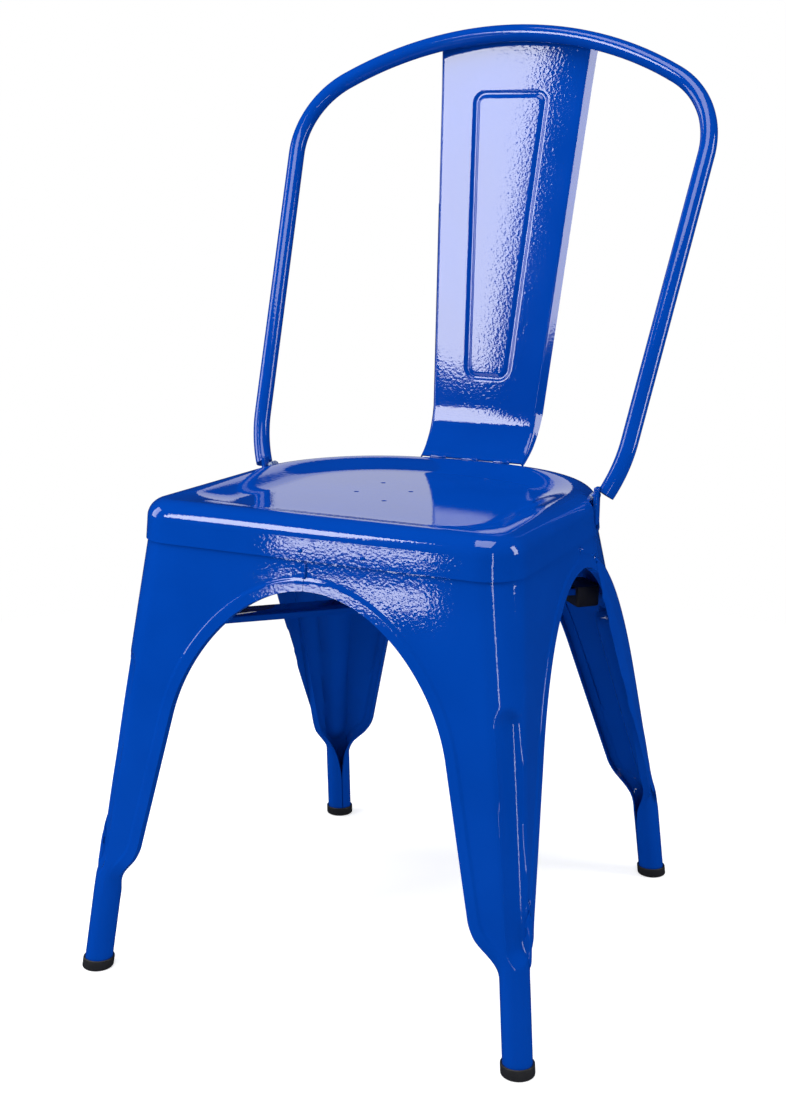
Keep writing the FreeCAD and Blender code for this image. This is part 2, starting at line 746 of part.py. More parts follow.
def make_splat():
    sheet_t, flare = size("splat_sheet"), size("splat_flare")
    wires = []
    for point, up in splat_stations():
        back = V(1, 0, 0).cross(up) * -1
        width = splat_half_width(point.z)
        toe = size("seat_rim_height")
        reach = min(max((point.z - toe) / size("splat_waist_rise"), 0.0), 1.0)
        deep = size("splat_toe_flange") + (size("splat_flange") - size("splat_toe_flange")) * reach
        lip = flare * deep / size("splat_flange")
        half = [(width, 0), (width + lip, deep), (width + lip - sheet_t, deep), (width - sheet_t, sheet_t)]
        loop = half + [(-x, d) for x, d in reversed(half)]
        points = [point + V(x, 0, 0) + back * d for x, d in loop]
        wires.append(Part.Wire(chain(points + points[:1])))
    panel = Part.makeLoft(wires, True, True)
    # The top follows the hoop's crown and ends level with the middle of the tube.
    panel = panel.common(above(size("seat_rim_height") + size("splat_clear")))
    crown = size("hoop_crown") / math.cos(hoop_lean)
    return panel.common(Part.makeCylinder(crown, WIDE, V(0, 0, crown_point().z - crown), V(0, 1, 0)))


def bead_ring(width, depth):
    """The pressed outline on the splat's face: a tapered ring with rounded corners."""
    lean, waist = splat_lean(), splat_waist()
    rings = []
    for offset in (width / 2, -width / 2):
        low = size("panel_foot_rise") / math.cos(lean) - offset
        high = (crown_point().z - size("panel_top_drop") - waist.z) / math.cos(lean) + offset
        foot, top = size("panel_foot_half") + offset, size("panel_top_half") + offset
        block = Part.Face(Part.Wire(chain([V(-foot, 0, low), V(foot, 0, low), V(top, 0, high),
                                           V(-top, 0, high), V(-foot, 0, low)]))).extrude(V(0, depth, 0))
        uprights = [e for e in block.Edges if e.BoundBox.YLength > depth / 2]
        rings.append(block.makeFillet(size("panel_corner") + offset, uprights))
    ring = rings[0].cut(rings[1])
    ring.rotate(V(0, 0, 0), V(1, 0, 0), -math.degrees(lean))
    ring.translate(waist)
    return ring


def embossed(panel):
    back = V(0, math.cos(splat_lean()), -math.sin(splat_lean()))
    lap = size("splat_sheet") / 3
    ridge = bead_ring(size("bead_width"), size("bead_depth") + lap)
    ridge.translate(back * (size("splat_sheet") - lap))
    groove = bead_ring(size("bead_width") - size("splat_sheet"), size("bead_depth") + lap)
    groove.translate(back * -lap)
    return panel.fuse(ridge).cut(groove)


splat = keep(feature("BackSplat", embossed(make_splat())), "back_splat")


# Braces: crossed pressed channels under the seat, from leg to leg


def corner_point(front, side, z):
    """The inner corner of a leg at height z."""
    foot, up = foot_axis(front)
    out = V(1, -1 if front else 1, 0).normalize()
    point = foot + up * z + out * (corner_reach(front, z) - size("leg_sheet"))
    return V(point.x * side, point.y, z)


def channel_body(name, length):
    """A down-turned channel along +X, its top face at the brace height."""
    body = doc.addObject("PartDesign::Body", name)
    sketch = sketch_on(body, name + "Section", "YZ_Plane")
    half, top = size("brace_width") / 2, brace_z
    low, t = top - size("brace_height"), size("brace_sheet")
    outer = [V(-half, low, 0), V(-half, top, 0), V(half, top, 0), V(half, low, 0)]
    inner = [V(half - t, low, 0), V(half - t, top - t, 0), V(t - half, top - t, 0), V(t - half, low, 0)]
    polygon(sketch, outer + inner)
    pad = body.newObject("PartDesign::Pad", name + "Pad")
    pad.Profile = sketch
    pad.Length = length
    doc.recompute()
    edges = []
    for i, edge in enumerate(pad.Shape.Edges, start=1):
        ends = [v.Point for v in edge.Vertexes]
        along = len(ends) == 2 and abs(ends[0].x - ends[1].x) > length / 2
        if along and all(abs(p.z - top) < 0.01 and abs(abs(p.y) - half) < 0.01 for p in ends):
            edges.append("Edge%d" % i)
    round_off = body.newObject("PartDesign::Fillet", name + "Edges")
    round_off.Base = (pad, edges)
    driven(round_off, Radius="Sizes.brace_round")
    doc.recompute()
    return body


def inner_zone(front, side):
    """The space between the legs that a brace may fill."""
    block = leg_block(front, 0.0, size("leg_sheet") + size("brace_fit"), size("seat_half_width") / 2)
    return block if side > 0 else mirrored_x(block)


def brace_line(side):
    """Start and direction of the brace from the front leg on one side to the other rear leg."""
    return corner_point(True, side, brace_z), corner_point(False, -side, brace_z)


def trimmed(name, blank, zone):
    tool = feature(name + "Zone", zone)
    cut = doc.addObject("Part::Common", name)
    cut.Base, cut.Tool = blank, tool
    doc.recompute()
    return cut


def angle_of(direction):
    return math.degrees(math.atan2(direction.y, direction.x))


cross = brace_line(-1)
span = cross[1] - cross[0]
overshoot = size("brace_overshoot")
ahead = V(span.x, span.y, 0).normalize()
blank = channel_body("LongBraceBlank", span.Length + 2 * overshoot)
blank.Placement = FreeCAD.Placement(V(cross[0].x, cross[0].y, 0) - ahead * overshoot,
                                    FreeCAD.Rotation(V(0, 0, 1), angle_of(span)))
long_brace = keep(trimmed("LongBrace", blank, inner_zone(True, -1).fuse(inner_zone(False, 1))), "brace_long")

middle = V(0, cross[0].y - cross[0].x * span.y / span.x, 0)
for front, node in ((True, "brace_short_front"), (False, "brace_short_rear")):
    corner = corner_point(front, 1 if front else -1, brace_z)
    reach = V(corner.x - middle.x, corner.y - middle.y, 0)
    name = "Short" + ("Front" if front else "Rear")
    blank = channel_body(name + "Blank", reach.Length + overshoot)
    blank.Placement = FreeCAD.Placement(middle, FreeCAD.Rotation(V(0, 0, 1), angle_of(reach)))
    gap = size("brace_width") + 2 * size("brace_fit")
    clear = Part.makeBox(span.Length, gap, gap, V(-span.Length / 2, -gap / 2, brace_z - gap / 2))
    clear.rotate(V(0, 0, 0), V(0, 0, 1), angle_of(span))
    clear.translate(middle)
    keep(trimmed(name, blank, inner_zone(front, 1 if front else -1).cut(clear)), node)


# Rubber blocks that a second chair rests on when they are stacked


def make_bumper(name, centre, turn):
    body = doc.addObject("PartDesign::Body", name)
    half = size("brace_width") / 2 + size("bumper_fit")
    top, low = brace_z + size("bumper_fit"), brace_z - size("brace_height") - size("bumper_fit")
    wall, cap = size("bumper_wall"), size("bumper_cap")
    outer = sketch_on(body, name + "Outline", "YZ_Plane")
    rectangle(outer, -half - wall, low - size("bumper_drop"), half + wall, top + cap)
    pad = body.newObject("PartDesign::Pad", name + "Pad")
    pad.Profile = outer
    pad.Midplane = True
    driven(pad, Length="Sizes.bumper_length")
    inner = sketch_on(body, name + "Slot", "YZ_Plane")
    rectangle(inner, -half, low, half, top)
    slot = body.newObject("PartDesign::Pocket", name + "Pocket")
    slot.Profile = inner
    slot.Type = "ThroughAll"
    slot.Midplane = True
    doc.recompute()
    edges = []
    for i, edge in enumerate(slot.Shape.Edges, start=1):
        box = edge.BoundBox
        if box.ZLength > size("bumper_drop") and abs(abs(box.YMin) - half - wall) < 0.01:
            edges.append("Edge%d" % i)
        if box.ZLength < 0.01 and abs(box.ZMin - low + size("bumper_drop")) < 0.01:
            edges.append("Edge%d" % i)
    soft = body.newObject("PartDesign::Fillet", name + "Round")
    soft.Base = (slot, edges)
    driven(soft, Radius="Sizes.bumper_round")
    doc.recompute()
    body.Placement = FreeCAD.Placement(centre, FreeCAD.Rotation(V(0, 0, 1), turn))
    return body


for front, row in ((True, "front"), (False, "rear")):
    for side, hand in ((1, "right"), (-1, "left")):
        corner = corner_point(front, side, brace_z)
        line_out = V(corner.x - middle.x, corner.y - middle.y, 0)
        centre = middle + line_out * (1 - size("bumper_inset") / line_out.Length)
        name = "Bumper" + row.capitalize() + hand.capitalize()
        keep(make_bumper(name, centre, angle_of(line_out)), "bumper_%s_%s" % (row, hand))


# Foot caps: rubber cups that follow the lean of the tubes


def make_cap(name, front, side):
    foot, up = foot_axis(front)
    foot, up = V(foot.x * side, foot.y, 0), V(up.x * side, up.y, 1)
    body = doc.addObject("PartDesign::Body", name)
    bore = "foot_tube_radius", " + Sizes.cap_fit"
    sketches = []
    for tag, z, (alias, extra) in (("Sole", 0.0, ("cap_radius", " - Sizes.cap_edge")),
                                   ("Wall", size("cap_edge"), ("cap_radius", "")),
                                   ("Brim", size("cap_height"), ("cap_radius", "")),
                                   ("Seat", size("cap_floor"), bore),
                                   ("Mouth", size("cap_height") + 1, bore)):
        sketch = sketch_on(body, name + tag, "XY_Plane", z)
        circle(sketch, V(up.x * z, up.y * z, 0), alias, extra)
        sketches.append(sketch)
    doc.recompute()
    for kind, tag, first, rest in (("Additive", "Cup", sketches[0], sketches[1:3]),
                                   ("Subtractive", "Bore", sketches[3], sketches[4:])):
        loft = body.newObject("PartDesign::%sLoft" % kind, name + tag)
        loft.Profile, loft.Sections = first, rest
        loft.Ruled = True
        doc.recompute()
    body.Placement = FreeCAD.Placement(foot, FreeCAD.Rotation())
    return body


for front, row in ((True, "front"), (False, "rear")):
    for side, hand in ((1, "right"), (-1, "left")):
        name = "Cap" + row.capitalize() + hand.capitalize()
        keep(make_cap(name, front, side), "foot_cap_%s_%s" % (row, hand))


# Weld beads, each dressed back so that it ends on the faces it joins


def bead(a, b, radius):
    """A run of weld from a to b with rounded ends."""
    along = (b - a).normalize() * radius
    run = Part.makeCylinder(radius, (b - a).Length + 2 * radius, a - along, b - a)
    ends = [edge for edge in run.Edges if len(edge.Vertexes) == 1]
    return run.makeFillet(size("weld_end") * radius, ends)


def weld(name, node, beads, against):
    """One node of separate beads, cut back to the surfaces round them."""
    solids = []
    for shape in beads:
        for other in against:
            shape = shape.cut(other)
        solids.append(max(shape.Solids, key=lambda solid: solid.Volume))
    return keep(feature(name, Part.makeCompound(solids) if len(solids) > 1 else solids[0]), node)


def shape_of(node):
    return [obj for obj in NODES if obj.Label == node][0].Shape


def leg_nodes():
    return [shape_of("leg_%s_%s" % (row, hand)) for row in ("front", "rear") for hand in ("left", "right")]


def outer_block(front, side=1):
    """The space inside one pair of legs' outer faces, past the seams on both sides."""
    block = leg_block(front, 0.0, 0.0, size("weld_run"))
    return block if side > 0 else mirrored_x(block)


r = size("weld_bead")
half_run = size("weld_run") / 2
for side, hand in ((1, "right"), (-1, "left")):
    x = side_x(size("seat_half_width"), hoop_foot_y()) - size("hoop_weld_inset")
    spot = V(x * side, hoop_foot_y() + size("hoop_weld_back"), below_rim("hoop_weld_drop"))
    run = V(0, size("hoop_weld_radius"), 0)
    weld("HoopWeld" + hand.capitalize(), "hoop_weld_" + hand,
         [bead(spot - run, spot + run, size("hoop_weld_radius"))], [shape_of("seat_pan"), hoop.Shape])

beads = []
for side in (1, -1):
    x0, x1 = size("top_weld_x") - half_run, size("top_weld_x") + half_run
    ends = []
    for x in (x0, x1):
        down = size("hoop_crown") - math.sqrt(size("hoop_crown") ** 2 - x ** 2)
        z = crown_point().z - down * math.cos(hoop_lean) - 0.75 * size("hoop_radius")
        y = splat_waist().y + (z - splat_waist().z) * math.tan(splat_lean())
        ends.append(V(x * side, y - 0.6 * r, z))
    beads.append(bead(ends[0], ends[1], r))
weld("SplatTopWeld", "splat_top_weld", beads, [hoop.Shape, splat.Shape])

toe = V(0, splat_toe().y, size("seat_rim_height") + size("splat_clear"))
beads = [bead(toe + V(x - half_run / 2, 0, 0), toe + V(x + half_run / 2, 0, 0), r)
         for x in (-size("foot_weld_x"), 0.0, size("foot_weld_x"))]
weld("SplatFootWeld", "splat_foot_weld", beads, [shape_of("seat_pan"), splat.Shape])

braces = [shape_of(node) for node in ("brace_long", "brace_short_front", "brace_short_rear")]
beads = []
for front in (True, False):
    for side in (1, -1):
        corner = corner_point(front, side, brace_z)
        inward = V(middle.x - corner.x, middle.y - corner.y, 0).normalize()
        across = V(-inward.y, inward.x, 0) * (half_run / 2)
        spot = corner + inward * (0.4 * r)
        beads.append(bead(spot - across, spot + across, r))
weld("BraceEndWelds", "brace_end_welds", beads, leg_nodes() + braces)

beads = []
unit = V(span.x, span.y, 0).normalize()
normal = V(-unit.y, unit.x, 0)
beside = normal * (size("brace_width") / 2 + size("brace_fit") / 2)
for side in (1, -1):
    spot = V(middle.x, middle.y, brace_z) + beside * side
    beads.append(bead(spot - unit * half_run / 2, spot + unit * half_run / 2, r))
weld("BraceCentreWeld", "brace_centre_weld", beads, braces)

faces = {True: leg_faces(True), False: leg_faces(False)}
z0, z1 = below_rim("arch_drop") + size("band_width") + r, skirt_z - 2 * r


def seam_bead(front, x):
    """A bead up the seam where two legs meet on the mirror plane's side of the chair."""
    top_y, lean_y = faces[front][1], faces[front][3]
    low, high = [V(x, top_y + lean_y * (skirt_z - z), z) for z in (z0, z1)]
    if front:
        low.y, high.y = -low.y, -high.y
    return bead(low, high, r)


weld("FrontSeamWeld", "front_seam_weld", [seam_bead(True, -size("front_seam_x"))], [outer_block(True)])
weld("RearSeamWeld", "rear_seam_weld", [seam_bead(False, 0.0)], [outer_block(False)])
for side, hand in ((1, "right"), (-1, "left")):
    top_x, lean_x = faces[True][0], faces[True][2]
    z = skirt_z - 3 * r
    x = side_x(top_x + lean_x * (skirt_z - z), size("seam_y")) - 0.4 * r
    spot = V(side * x, size("seam_y"), z)
    weld("SideSeamWeld" + hand.capitalize(), "side_seam_weld_" + hand,
         [Part.makeSphere(size("spot_radius"), spot)], [outer_block(True, side)])

rise, deep = size("spot_rise"), size("spot_radius") * 2 / 3
y = deep - size("seat_front") + size("seat_wall_lean") * rise / size("seat_skirt")
beads = [Part.makeSphere(size("spot_radius"), V(x, y, skirt_z + rise))
         for x in (size("spot_left_x"), size("spot_right_x"))]
weld("SeatSpotWelds", "seat_spot_welds", beads, [seat_block(0.0)])

doc.recompute()
failed = [obj.Name for obj in doc.Objects if {"Invalid", "Error"} & set(obj.State)]
for node in NODES:
    if node.Shape.isNull() or not node.Shape.isValid() or len(node.Shape.Solids) < 1:
        failed.append(node.Label)
if failed:
    raise RuntimeError("these failed: " + ", ".join(failed))
os.makedirs("parts", exist_ok=True)
for node in NODES:
    node.Shape.exportStep("parts/%s.step" % node.Label)
    print(node.Label, len(node.Shape.Solids), "solids", round(node.Shape.Volume / 1000, 2), "cm3")
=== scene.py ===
# %% [markdown]
# # A pressed-metal bistro chair
# The real chair is made almost wholly of thin sheet. Each leg, the seat and the splat start as a
# flat blank that a press shapes in one or two strokes. Only the back hoop is a bent tube.
# This lesson follows that order: a flat grid is added as the blank, a short function says where
# the press moves each point, and a Solidify modifier gives the sheet its thickness. The finished
# frame from the CAD step gives the boxes that the shapes are built between, and nearly all other
# sizes of the chair are the ones that the CAD source uses.

# %% Load the frame
import json
import math

import bpy
from mathutils import Matrix, Vector


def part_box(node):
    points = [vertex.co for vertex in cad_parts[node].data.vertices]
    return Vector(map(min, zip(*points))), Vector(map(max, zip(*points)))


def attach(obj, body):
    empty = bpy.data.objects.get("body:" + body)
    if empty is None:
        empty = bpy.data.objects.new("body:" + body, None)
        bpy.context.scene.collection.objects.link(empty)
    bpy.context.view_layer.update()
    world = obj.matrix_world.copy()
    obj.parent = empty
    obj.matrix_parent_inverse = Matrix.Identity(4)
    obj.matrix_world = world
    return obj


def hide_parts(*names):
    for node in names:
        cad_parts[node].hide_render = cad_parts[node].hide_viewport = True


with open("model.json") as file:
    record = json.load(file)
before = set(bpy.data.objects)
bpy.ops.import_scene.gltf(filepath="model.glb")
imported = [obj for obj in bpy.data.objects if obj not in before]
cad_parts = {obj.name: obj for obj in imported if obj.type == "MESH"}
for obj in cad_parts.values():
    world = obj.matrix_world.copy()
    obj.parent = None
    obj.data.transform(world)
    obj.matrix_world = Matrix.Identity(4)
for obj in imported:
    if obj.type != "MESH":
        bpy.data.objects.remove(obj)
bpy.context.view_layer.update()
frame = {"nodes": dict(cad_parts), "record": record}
bpy.ops.object.select_all(action="DESELECT")
nodes = frame["nodes"]
print("the frame has", len(nodes), "nodes")

# %% [markdown]
# ## The camera
# A product photo is easiest to match when the camera is placed by numbers. The view direction is
# two angles and a small roll, in radians, and the lens comes from the picture's height in pixels.
# The shift puts the lens's middle on the same row of the picture as in the photo.

# %% Place the camera
PICTURE_HEIGHT, SENSOR_HEIGHT = 1100, 36.0
turn, drop, roll = 0.456521, 0.257697, 0.006084
focal_pixels, middle_row = 1637.994, 600.0
camera_place = Vector((0.640565, -1.340126, 0.712440))

ahead = Vector((-math.sin(turn) * math.cos(drop), math.cos(turn) * math.cos(drop),
                -math.sin(drop)))
level = Vector((math.cos(turn), math.sin(turn), 0))
upward = level.cross(ahead)
right = level * math.cos(roll) + upward * math.sin(roll)
top = upward * math.cos(roll) - level * math.sin(roll)

bpy.ops.object.camera_add(location=camera_place)
camera = bpy.context.object
camera.name = "product_camera"
camera.rotation_euler = Matrix((right, top, -ahead)).transposed().to_euler()
camera.data.sensor_fit = "VERTICAL"
camera.data.sensor_height = SENSOR_HEIGHT
camera.data.lens = focal_pixels / PICTURE_HEIGHT * camera.data.sensor_height
camera.data.shift_y = (middle_row - PICTURE_HEIGHT / 2) / PICTURE_HEIGHT
camera.data.dof.use_dof = False
bpy.context.scene.camera = camera
print("lens", round(camera.data.lens, 2), "mm, shift", round(camera.data.shift_y, 4))

# %% [markdown]
# ## Blue powder coat
# Powder coat is sprayed on dry and baked, so it flows into a glossy skin that is never quite
# flat: from near by it has the fine dimples of an orange's peel. The colour could be one value
# and a gloss, but the peel is what breaks up the reflections, so it is a small noise bump, and a
# second, larger noise lets the tone and the gloss drift a little.


# %% Node helpers
def new_material(name):
    material = bpy.data.materials.new(name)
    material.use_nodes = True
    tree = material.node_tree
    shader = tree.nodes["Principled BSDF"]
    return material, tree, shader


def noise_node(tree, scale, detail):
    """A noise texture on the piece's own coordinates, in features per metre."""
    where = tree.nodes.new("ShaderNodeTexCoord")
    texture = tree.nodes.new("ShaderNodeTexNoise")
    texture.inputs["Scale"].default_value = scale
    texture.inputs["Detail"].default_value = detail
    tree.links.new(where.outputs["Object"], texture.inputs["Vector"])
    return texture


def spread(tree, source, low, high, out_low=0.0, out_high=1.0):
    """Stretch a texture's value onto a working range."""
    node = tree.nodes.new("ShaderNodeMapRange")
    node.inputs["From Min"].default_value = low
    node.inputs["From Max"].default_value = high
    node.inputs["To Min"].default_value = out_low
    node.inputs["To Max"].default_value = out_high
    tree.links.new(source, node.inputs["Value"])
    return node.outputs["Result"]


def bump(tree, height, strength, distance):
    node = tree.nodes.new("ShaderNodeBump")
    node.inputs["Strength"].default_value = strength
    node.inputs["Distance"].default_value = distance
    tree.links.new(height, node.inputs["Height"])
    return node.outputs["Normal"]


def two_colours(tree, amount, first, second):
    node = tree.nodes.new("ShaderNodeMix")
    node.data_type = "RGBA"
    node.inputs["A"].default_value = (*first, 1)
    node.inputs["B"].default_value = (*second, 1)
    tree.links.new(amount, node.inputs["Factor"])
    return node.outputs["Result"]


# %% Mix the blue paint
PAINT_BLUE = (0.0004, 0.0480, 0.3420)
PAINT_DEEP = (0.0003, 0.0440, 0.3180)
DRIFT_SCALE, PEEL_SCALE = 14.0, 380.0
GLOSSIEST, DULLEST, UNDERCOAT_ROUGHNESS = 0.025, 0.050, 0.5
PEEL_STRENGTH, PEEL_DEPTH = 0.10, 0.00045


def blue_paint():
    material, tree, shader = new_material("blue_powder_coat")
    drift = noise_node(tree, DRIFT_SCALE, 2.0)
    peel = noise_node(tree, PEEL_SCALE, 1.0)
    tone = spread(tree, drift.outputs["Fac"], 0.35, 0.65)
    tree.links.new(two_colours(tree, tone, PAINT_DEEP, PAINT_BLUE), shader.inputs["Base Color"])
    gloss = spread(tree, drift.outputs["Fac"], 0.3, 0.7, GLOSSIEST, DULLEST)
    tree.links.new(gloss, shader.inputs["Coat Roughness"])
    skin = bump(tree, peel.outputs["Fac"], PEEL_STRENGTH, PEEL_DEPTH)
    tree.links.new(skin, shader.inputs["Normal"])
    tree.links.new(skin, shader.inputs["Coat Normal"])
    shader.inputs["Roughness"].default_value = UNDERCOAT_ROUGHNESS
    shader.inputs["Specular IOR Level"].default_value = 0.0
    shader.inputs["Coat Weight"].default_value = 1.0
    return material


paint = blue_paint()
print("mixed", paint.name)

# %% [markdown]
# ## Rubber and bare welds
# The feet and stacking blocks are moulded black rubber: dark, with a dull sheen and a fine grain.
# The two welds where the hoop meets the seat's rim show grey metal through the blue, so the two
# colours mix there in patches.

# %% Mix rubber and weld
RUBBER_DARK, RUBBER_PALE = (0.008, 0.008, 0.009), (0.016, 0.016, 0.018)
BARE_METAL = (0.30, 0.36, 0.46)
GRAIN_SCALE, PATCH_SCALE = 1400.0, 420.0


def black_rubber():
    material, tree, shader = new_material("black_rubber")
    grain = noise_node(tree, GRAIN_SCALE, 3.0).outputs["Fac"]
    colour = two_colours(tree, spread(tree, grain, 0.3, 0.7), RUBBER_DARK, RUBBER_PALE)
    tree.links.new(colour, shader.inputs["Base Color"])
    tree.links.new(spread(tree, grain, 0.3, 0.7, 0.45, 0.6), shader.inputs["Roughness"])
    tree.links.new(bump(tree, grain, 0.2, 0.0002), shader.inputs["Normal"])
    return material


def worn_weld():
    material, tree, shader = new_material("worn_weld")
    patches = noise_node(tree, PATCH_SCALE, 4.0).outputs["Fac"]
    colour = two_colours(tree, spread(tree, patches, 0.42, 0.58), PAINT_BLUE, BARE_METAL)
    tree.links.new(colour, shader.inputs["Base Color"])
    tree.links.new(spread(tree, patches, 0.4, 0.6, 0.25, 0.45), shader.inputs["Roughness"])
    tree.links.new(bump(tree, patches, 0.6, 0.0006), shader.inputs["Normal"])
    shader.inputs["Metallic"].default_value = 0.3
    return material


SLOT_MATERIALS = {"blue_paint": paint, "black_rubber": black_rubber(), "brushed_weld": worn_weld()}
slot_of = {row["node"]: row["material_slot"] for row in frame["record"]["subparts"]}
for name, node in nodes.items():
    for material_slot in node.material_slots:
        material_slot.material = SLOT_MATERIALS[slot_of[name]]
print("materials:", sorted(m.name for m in SLOT_MATERIALS.values()))

# %% [markdown]
# ## Working in sheet metal
# A few helpers do the work of the shop. `press_sheet` adds a flat grid and moves its points to
# where a table says, `weld_and_face` merges the edges that meet and turns the faces outwards, and
# `modify` applies a modifier, such as the one that thickens the sheet inwards. `smooth` and
# `hand_over` then finish the piece.

# %% Sheet helpers
SHEET = 0.0015
SHARP = math.radians(38)


def select_only(piece):
    bpy.ops.object.select_all(action="DESELECT")
    piece.select_set(True)
    bpy.context.view_layer.objects.active = piece


def weld_and_face(piece, inside_out=False, near=0.00002):
    """Merge the points that meet and point every face outwards."""
    select_only(piece)
    bpy.ops.object.mode_set(mode="EDIT")
    bpy.ops.mesh.select_all(action="SELECT")
    bpy.ops.mesh.remove_doubles(threshold=near)
    bpy.ops.mesh.normals_make_consistent(inside=inside_out)
    bpy.ops.object.mode_set(mode="OBJECT")


def press_sheet(name, table, hand="right"):
    """A flat blank pressed to a table of rows, mirrored for a left-hand piece."""
    rows, columns, side = len(table), len(table[0]), 1 if hand == "right" else -1
    bpy.ops.mesh.primitive_grid_add(x_subdivisions=columns - 1, y_subdivisions=rows - 1, size=1)
    piece = bpy.context.object
    piece.name = piece.data.name = name
    for index, vertex in enumerate(piece.data.vertices):
        place = table[index // columns][index % columns]
        vertex.co = (side * place.x, place.y, place.z)
    piece.data.update()
    weld_and_face(piece)
    return piece


# %% Finishing helpers
def modify(piece, kind, **settings):
    """Add a modifier, set it and apply it."""
    select_only(piece)
    bpy.ops.object.modifier_add(type=kind)
    modifier = piece.modifiers[-1]
    for key, value in settings.items():
        setattr(modifier, key, value)
    bpy.ops.object.modifier_apply(modifier=modifier.name)


def smooth(piece, angle=SHARP):
    select_only(piece)
    bpy.ops.object.shade_smooth_by_angle(angle=angle)


def hand_over(piece, slot, *replaced):
    """Give a finished piece its finish and its body, and hide the CAD nodes that it stands for."""
    piece.data.materials.clear()
    piece.data.materials.append(SLOT_MATERIALS[slot])
    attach(piece, "root")
    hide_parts(*replaced)
    print(piece.name, "has", len(piece.data.polygons), "faces")


def ease(x, low, high):
    """0 below low, 1 above high, with a soft start and stop between."""
    t = min(max((x - low) / (high - low), 0.0), 1.0)
    return t * t * (3 - 2 * t)


def between(a, b, steps):
    return [a + (b - a) * i / steps for i in range(steps + 1)]


# %% [markdown]
# ## The seat pan
# The seat is one pressing: a skirt, a softly rolled rim and a shallow dish with four drain holes.
# A box with bevels would give the same corner radius everywhere, but here each ring has its own:
# wide and round behind, tight at the front corners, and wider again in the dish. So the blank is
# a grid whose columns run round the seat and whose rows run from the skirt's lip over the rim to
# the middle of the dish, and each row follows the outline at its own distance inside the lip.

# %% Seat sizes
SEAT_HALF, SEAT_FRONT, TAPER = 0.1750, 0.1910, math.radians(1.3)
FRONT_CORNER, REAR_CORNER, REAR_EDGE = 0.034, 0.144, 0.273
REAR_CORNER_Y = 0.002
seat_low, seat_high = (corner.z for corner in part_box("seat_pan"))
RIM_RADIUS, WALL_LEAN = 0.017, 0.003
DISH_DEPTH, DISH_START, DISH_END, DISH_CORNER = 0.0075, 0.0195, 0.062, 0.034
DISH_BLEND, LEAST_CORNER = 0.010, 0.001
DISH_MIDDLE = Vector((0, -0.020, seat_high - DISH_DEPTH))
REAR_STEPS, REAR_CORNER_STEPS, SIDE_STEPS, FRONT_CORNER_STEPS, FRONT_STEPS = 6, 26, 20, 14, 24
SKIRT_ROWS, RIM_ROWS, DISH_ROWS, FLOOR_ROWS = 8, 12, 20, 12
skirt_height = seat_high - seat_low


def side_x(at_middle, y):
    """Where a tapered side lies at depth y, from where it crosses the chair's middle."""
    return at_middle - y * math.tan(TAPER)


SWING = REAR_EDGE - REAR_CORNER
REAR_CORNER_X = side_x(SEAT_HALF, REAR_CORNER_Y) - REAR_CORNER / math.cos(TAPER)
REAR_TILT = math.asin(REAR_CORNER_X / SWING)
SEAT_REAR = REAR_CORNER_Y + REAR_EDGE - SWING * math.cos(REAR_TILT)
SIDE_ANGLE = math.pi / 2 - TAPER
print("rim at z", round(seat_high, 4), "m, rear edge at y", round(SEAT_REAR, 4), "m")


# %% The seat's outline
def on_circle(cx, cy, radius, angle):
    """A point of a circle, with the angle counted from +Y towards +X."""
    return Vector((cx + radius * math.sin(angle), cy + radius * math.cos(angle), 0))


def seat_half_ring(inset, least_corner):
    """Right half of the seat's outline from rear middle to front middle, moved inwards."""
    cy = REAR_CORNER_Y - SWING * math.cos(REAR_TILT)
    corner = max(FRONT_CORNER - inset, least_corner)
    fy = corner + inset - SEAT_FRONT
    fx = side_x(SEAT_HALF, fy) - (corner + inset) / math.cos(TAPER)
    points = [on_circle(0, cy, REAR_EDGE - inset, a) for a in between(0, REAR_TILT, REAR_STEPS)]
    points += [on_circle(REAR_CORNER_X, REAR_CORNER_Y, REAR_CORNER - inset, a)
               for a in between(REAR_TILT, SIDE_ANGLE, REAR_CORNER_STEPS)[1:]]
    front_start = on_circle(fx, fy, corner, SIDE_ANGLE)
    points += [points[-1].lerp(front_start, share) for share in between(0, 1, SIDE_STEPS)[1:]]
    points += [on_circle(fx, fy, corner, a)
               for a in between(SIDE_ANGLE, math.pi, FRONT_CORNER_STEPS)[1:]]
    points += [Vector((x, fy - corner, 0)) for x in between(fx, 0, FRONT_STEPS)[1:]]
    return points


def seat_ring(inset, height, least_corner=LEAST_CORNER):
    half = seat_half_ring(inset, least_corner)
    loop = half + [Vector((-p.x, p.y, 0)) for p in reversed(half[:-1])]
    return [Vector((p.x, p.y, height)) for p in loop]


# %% Press the seat
def seat_rows():
    roll_low = seat_high - RIM_RADIUS
    roll_inset = WALL_LEAN * (roll_low - seat_low) / skirt_height
    rows = [seat_ring(WALL_LEAN * (z - seat_low) / skirt_height, z)
            for z in between(seat_low, roll_low, SKIRT_ROWS)]
    centre = roll_inset + RIM_RADIUS
    for angle in between(0, math.pi / 2, RIM_ROWS)[1:]:
        inset = centre - RIM_RADIUS * math.cos(angle)
        rows.append(seat_ring(inset, roll_low + RIM_RADIUS * math.sin(angle)))
    for inset in between(centre, DISH_END, DISH_ROWS)[1:]:
        corner = DISH_CORNER * ease(inset, centre, centre + DISH_BLEND)
        height = seat_high - DISH_DEPTH * ease(inset, DISH_START, DISH_END)
        rows.append(seat_ring(inset, height, corner + LEAST_CORNER))
    floor = rows[-1]
    for share in between(0, 1, FLOOR_ROWS)[1:]:
        rows.append([p.lerp(DISH_MIDDLE, share) for p in floor])
    return rows


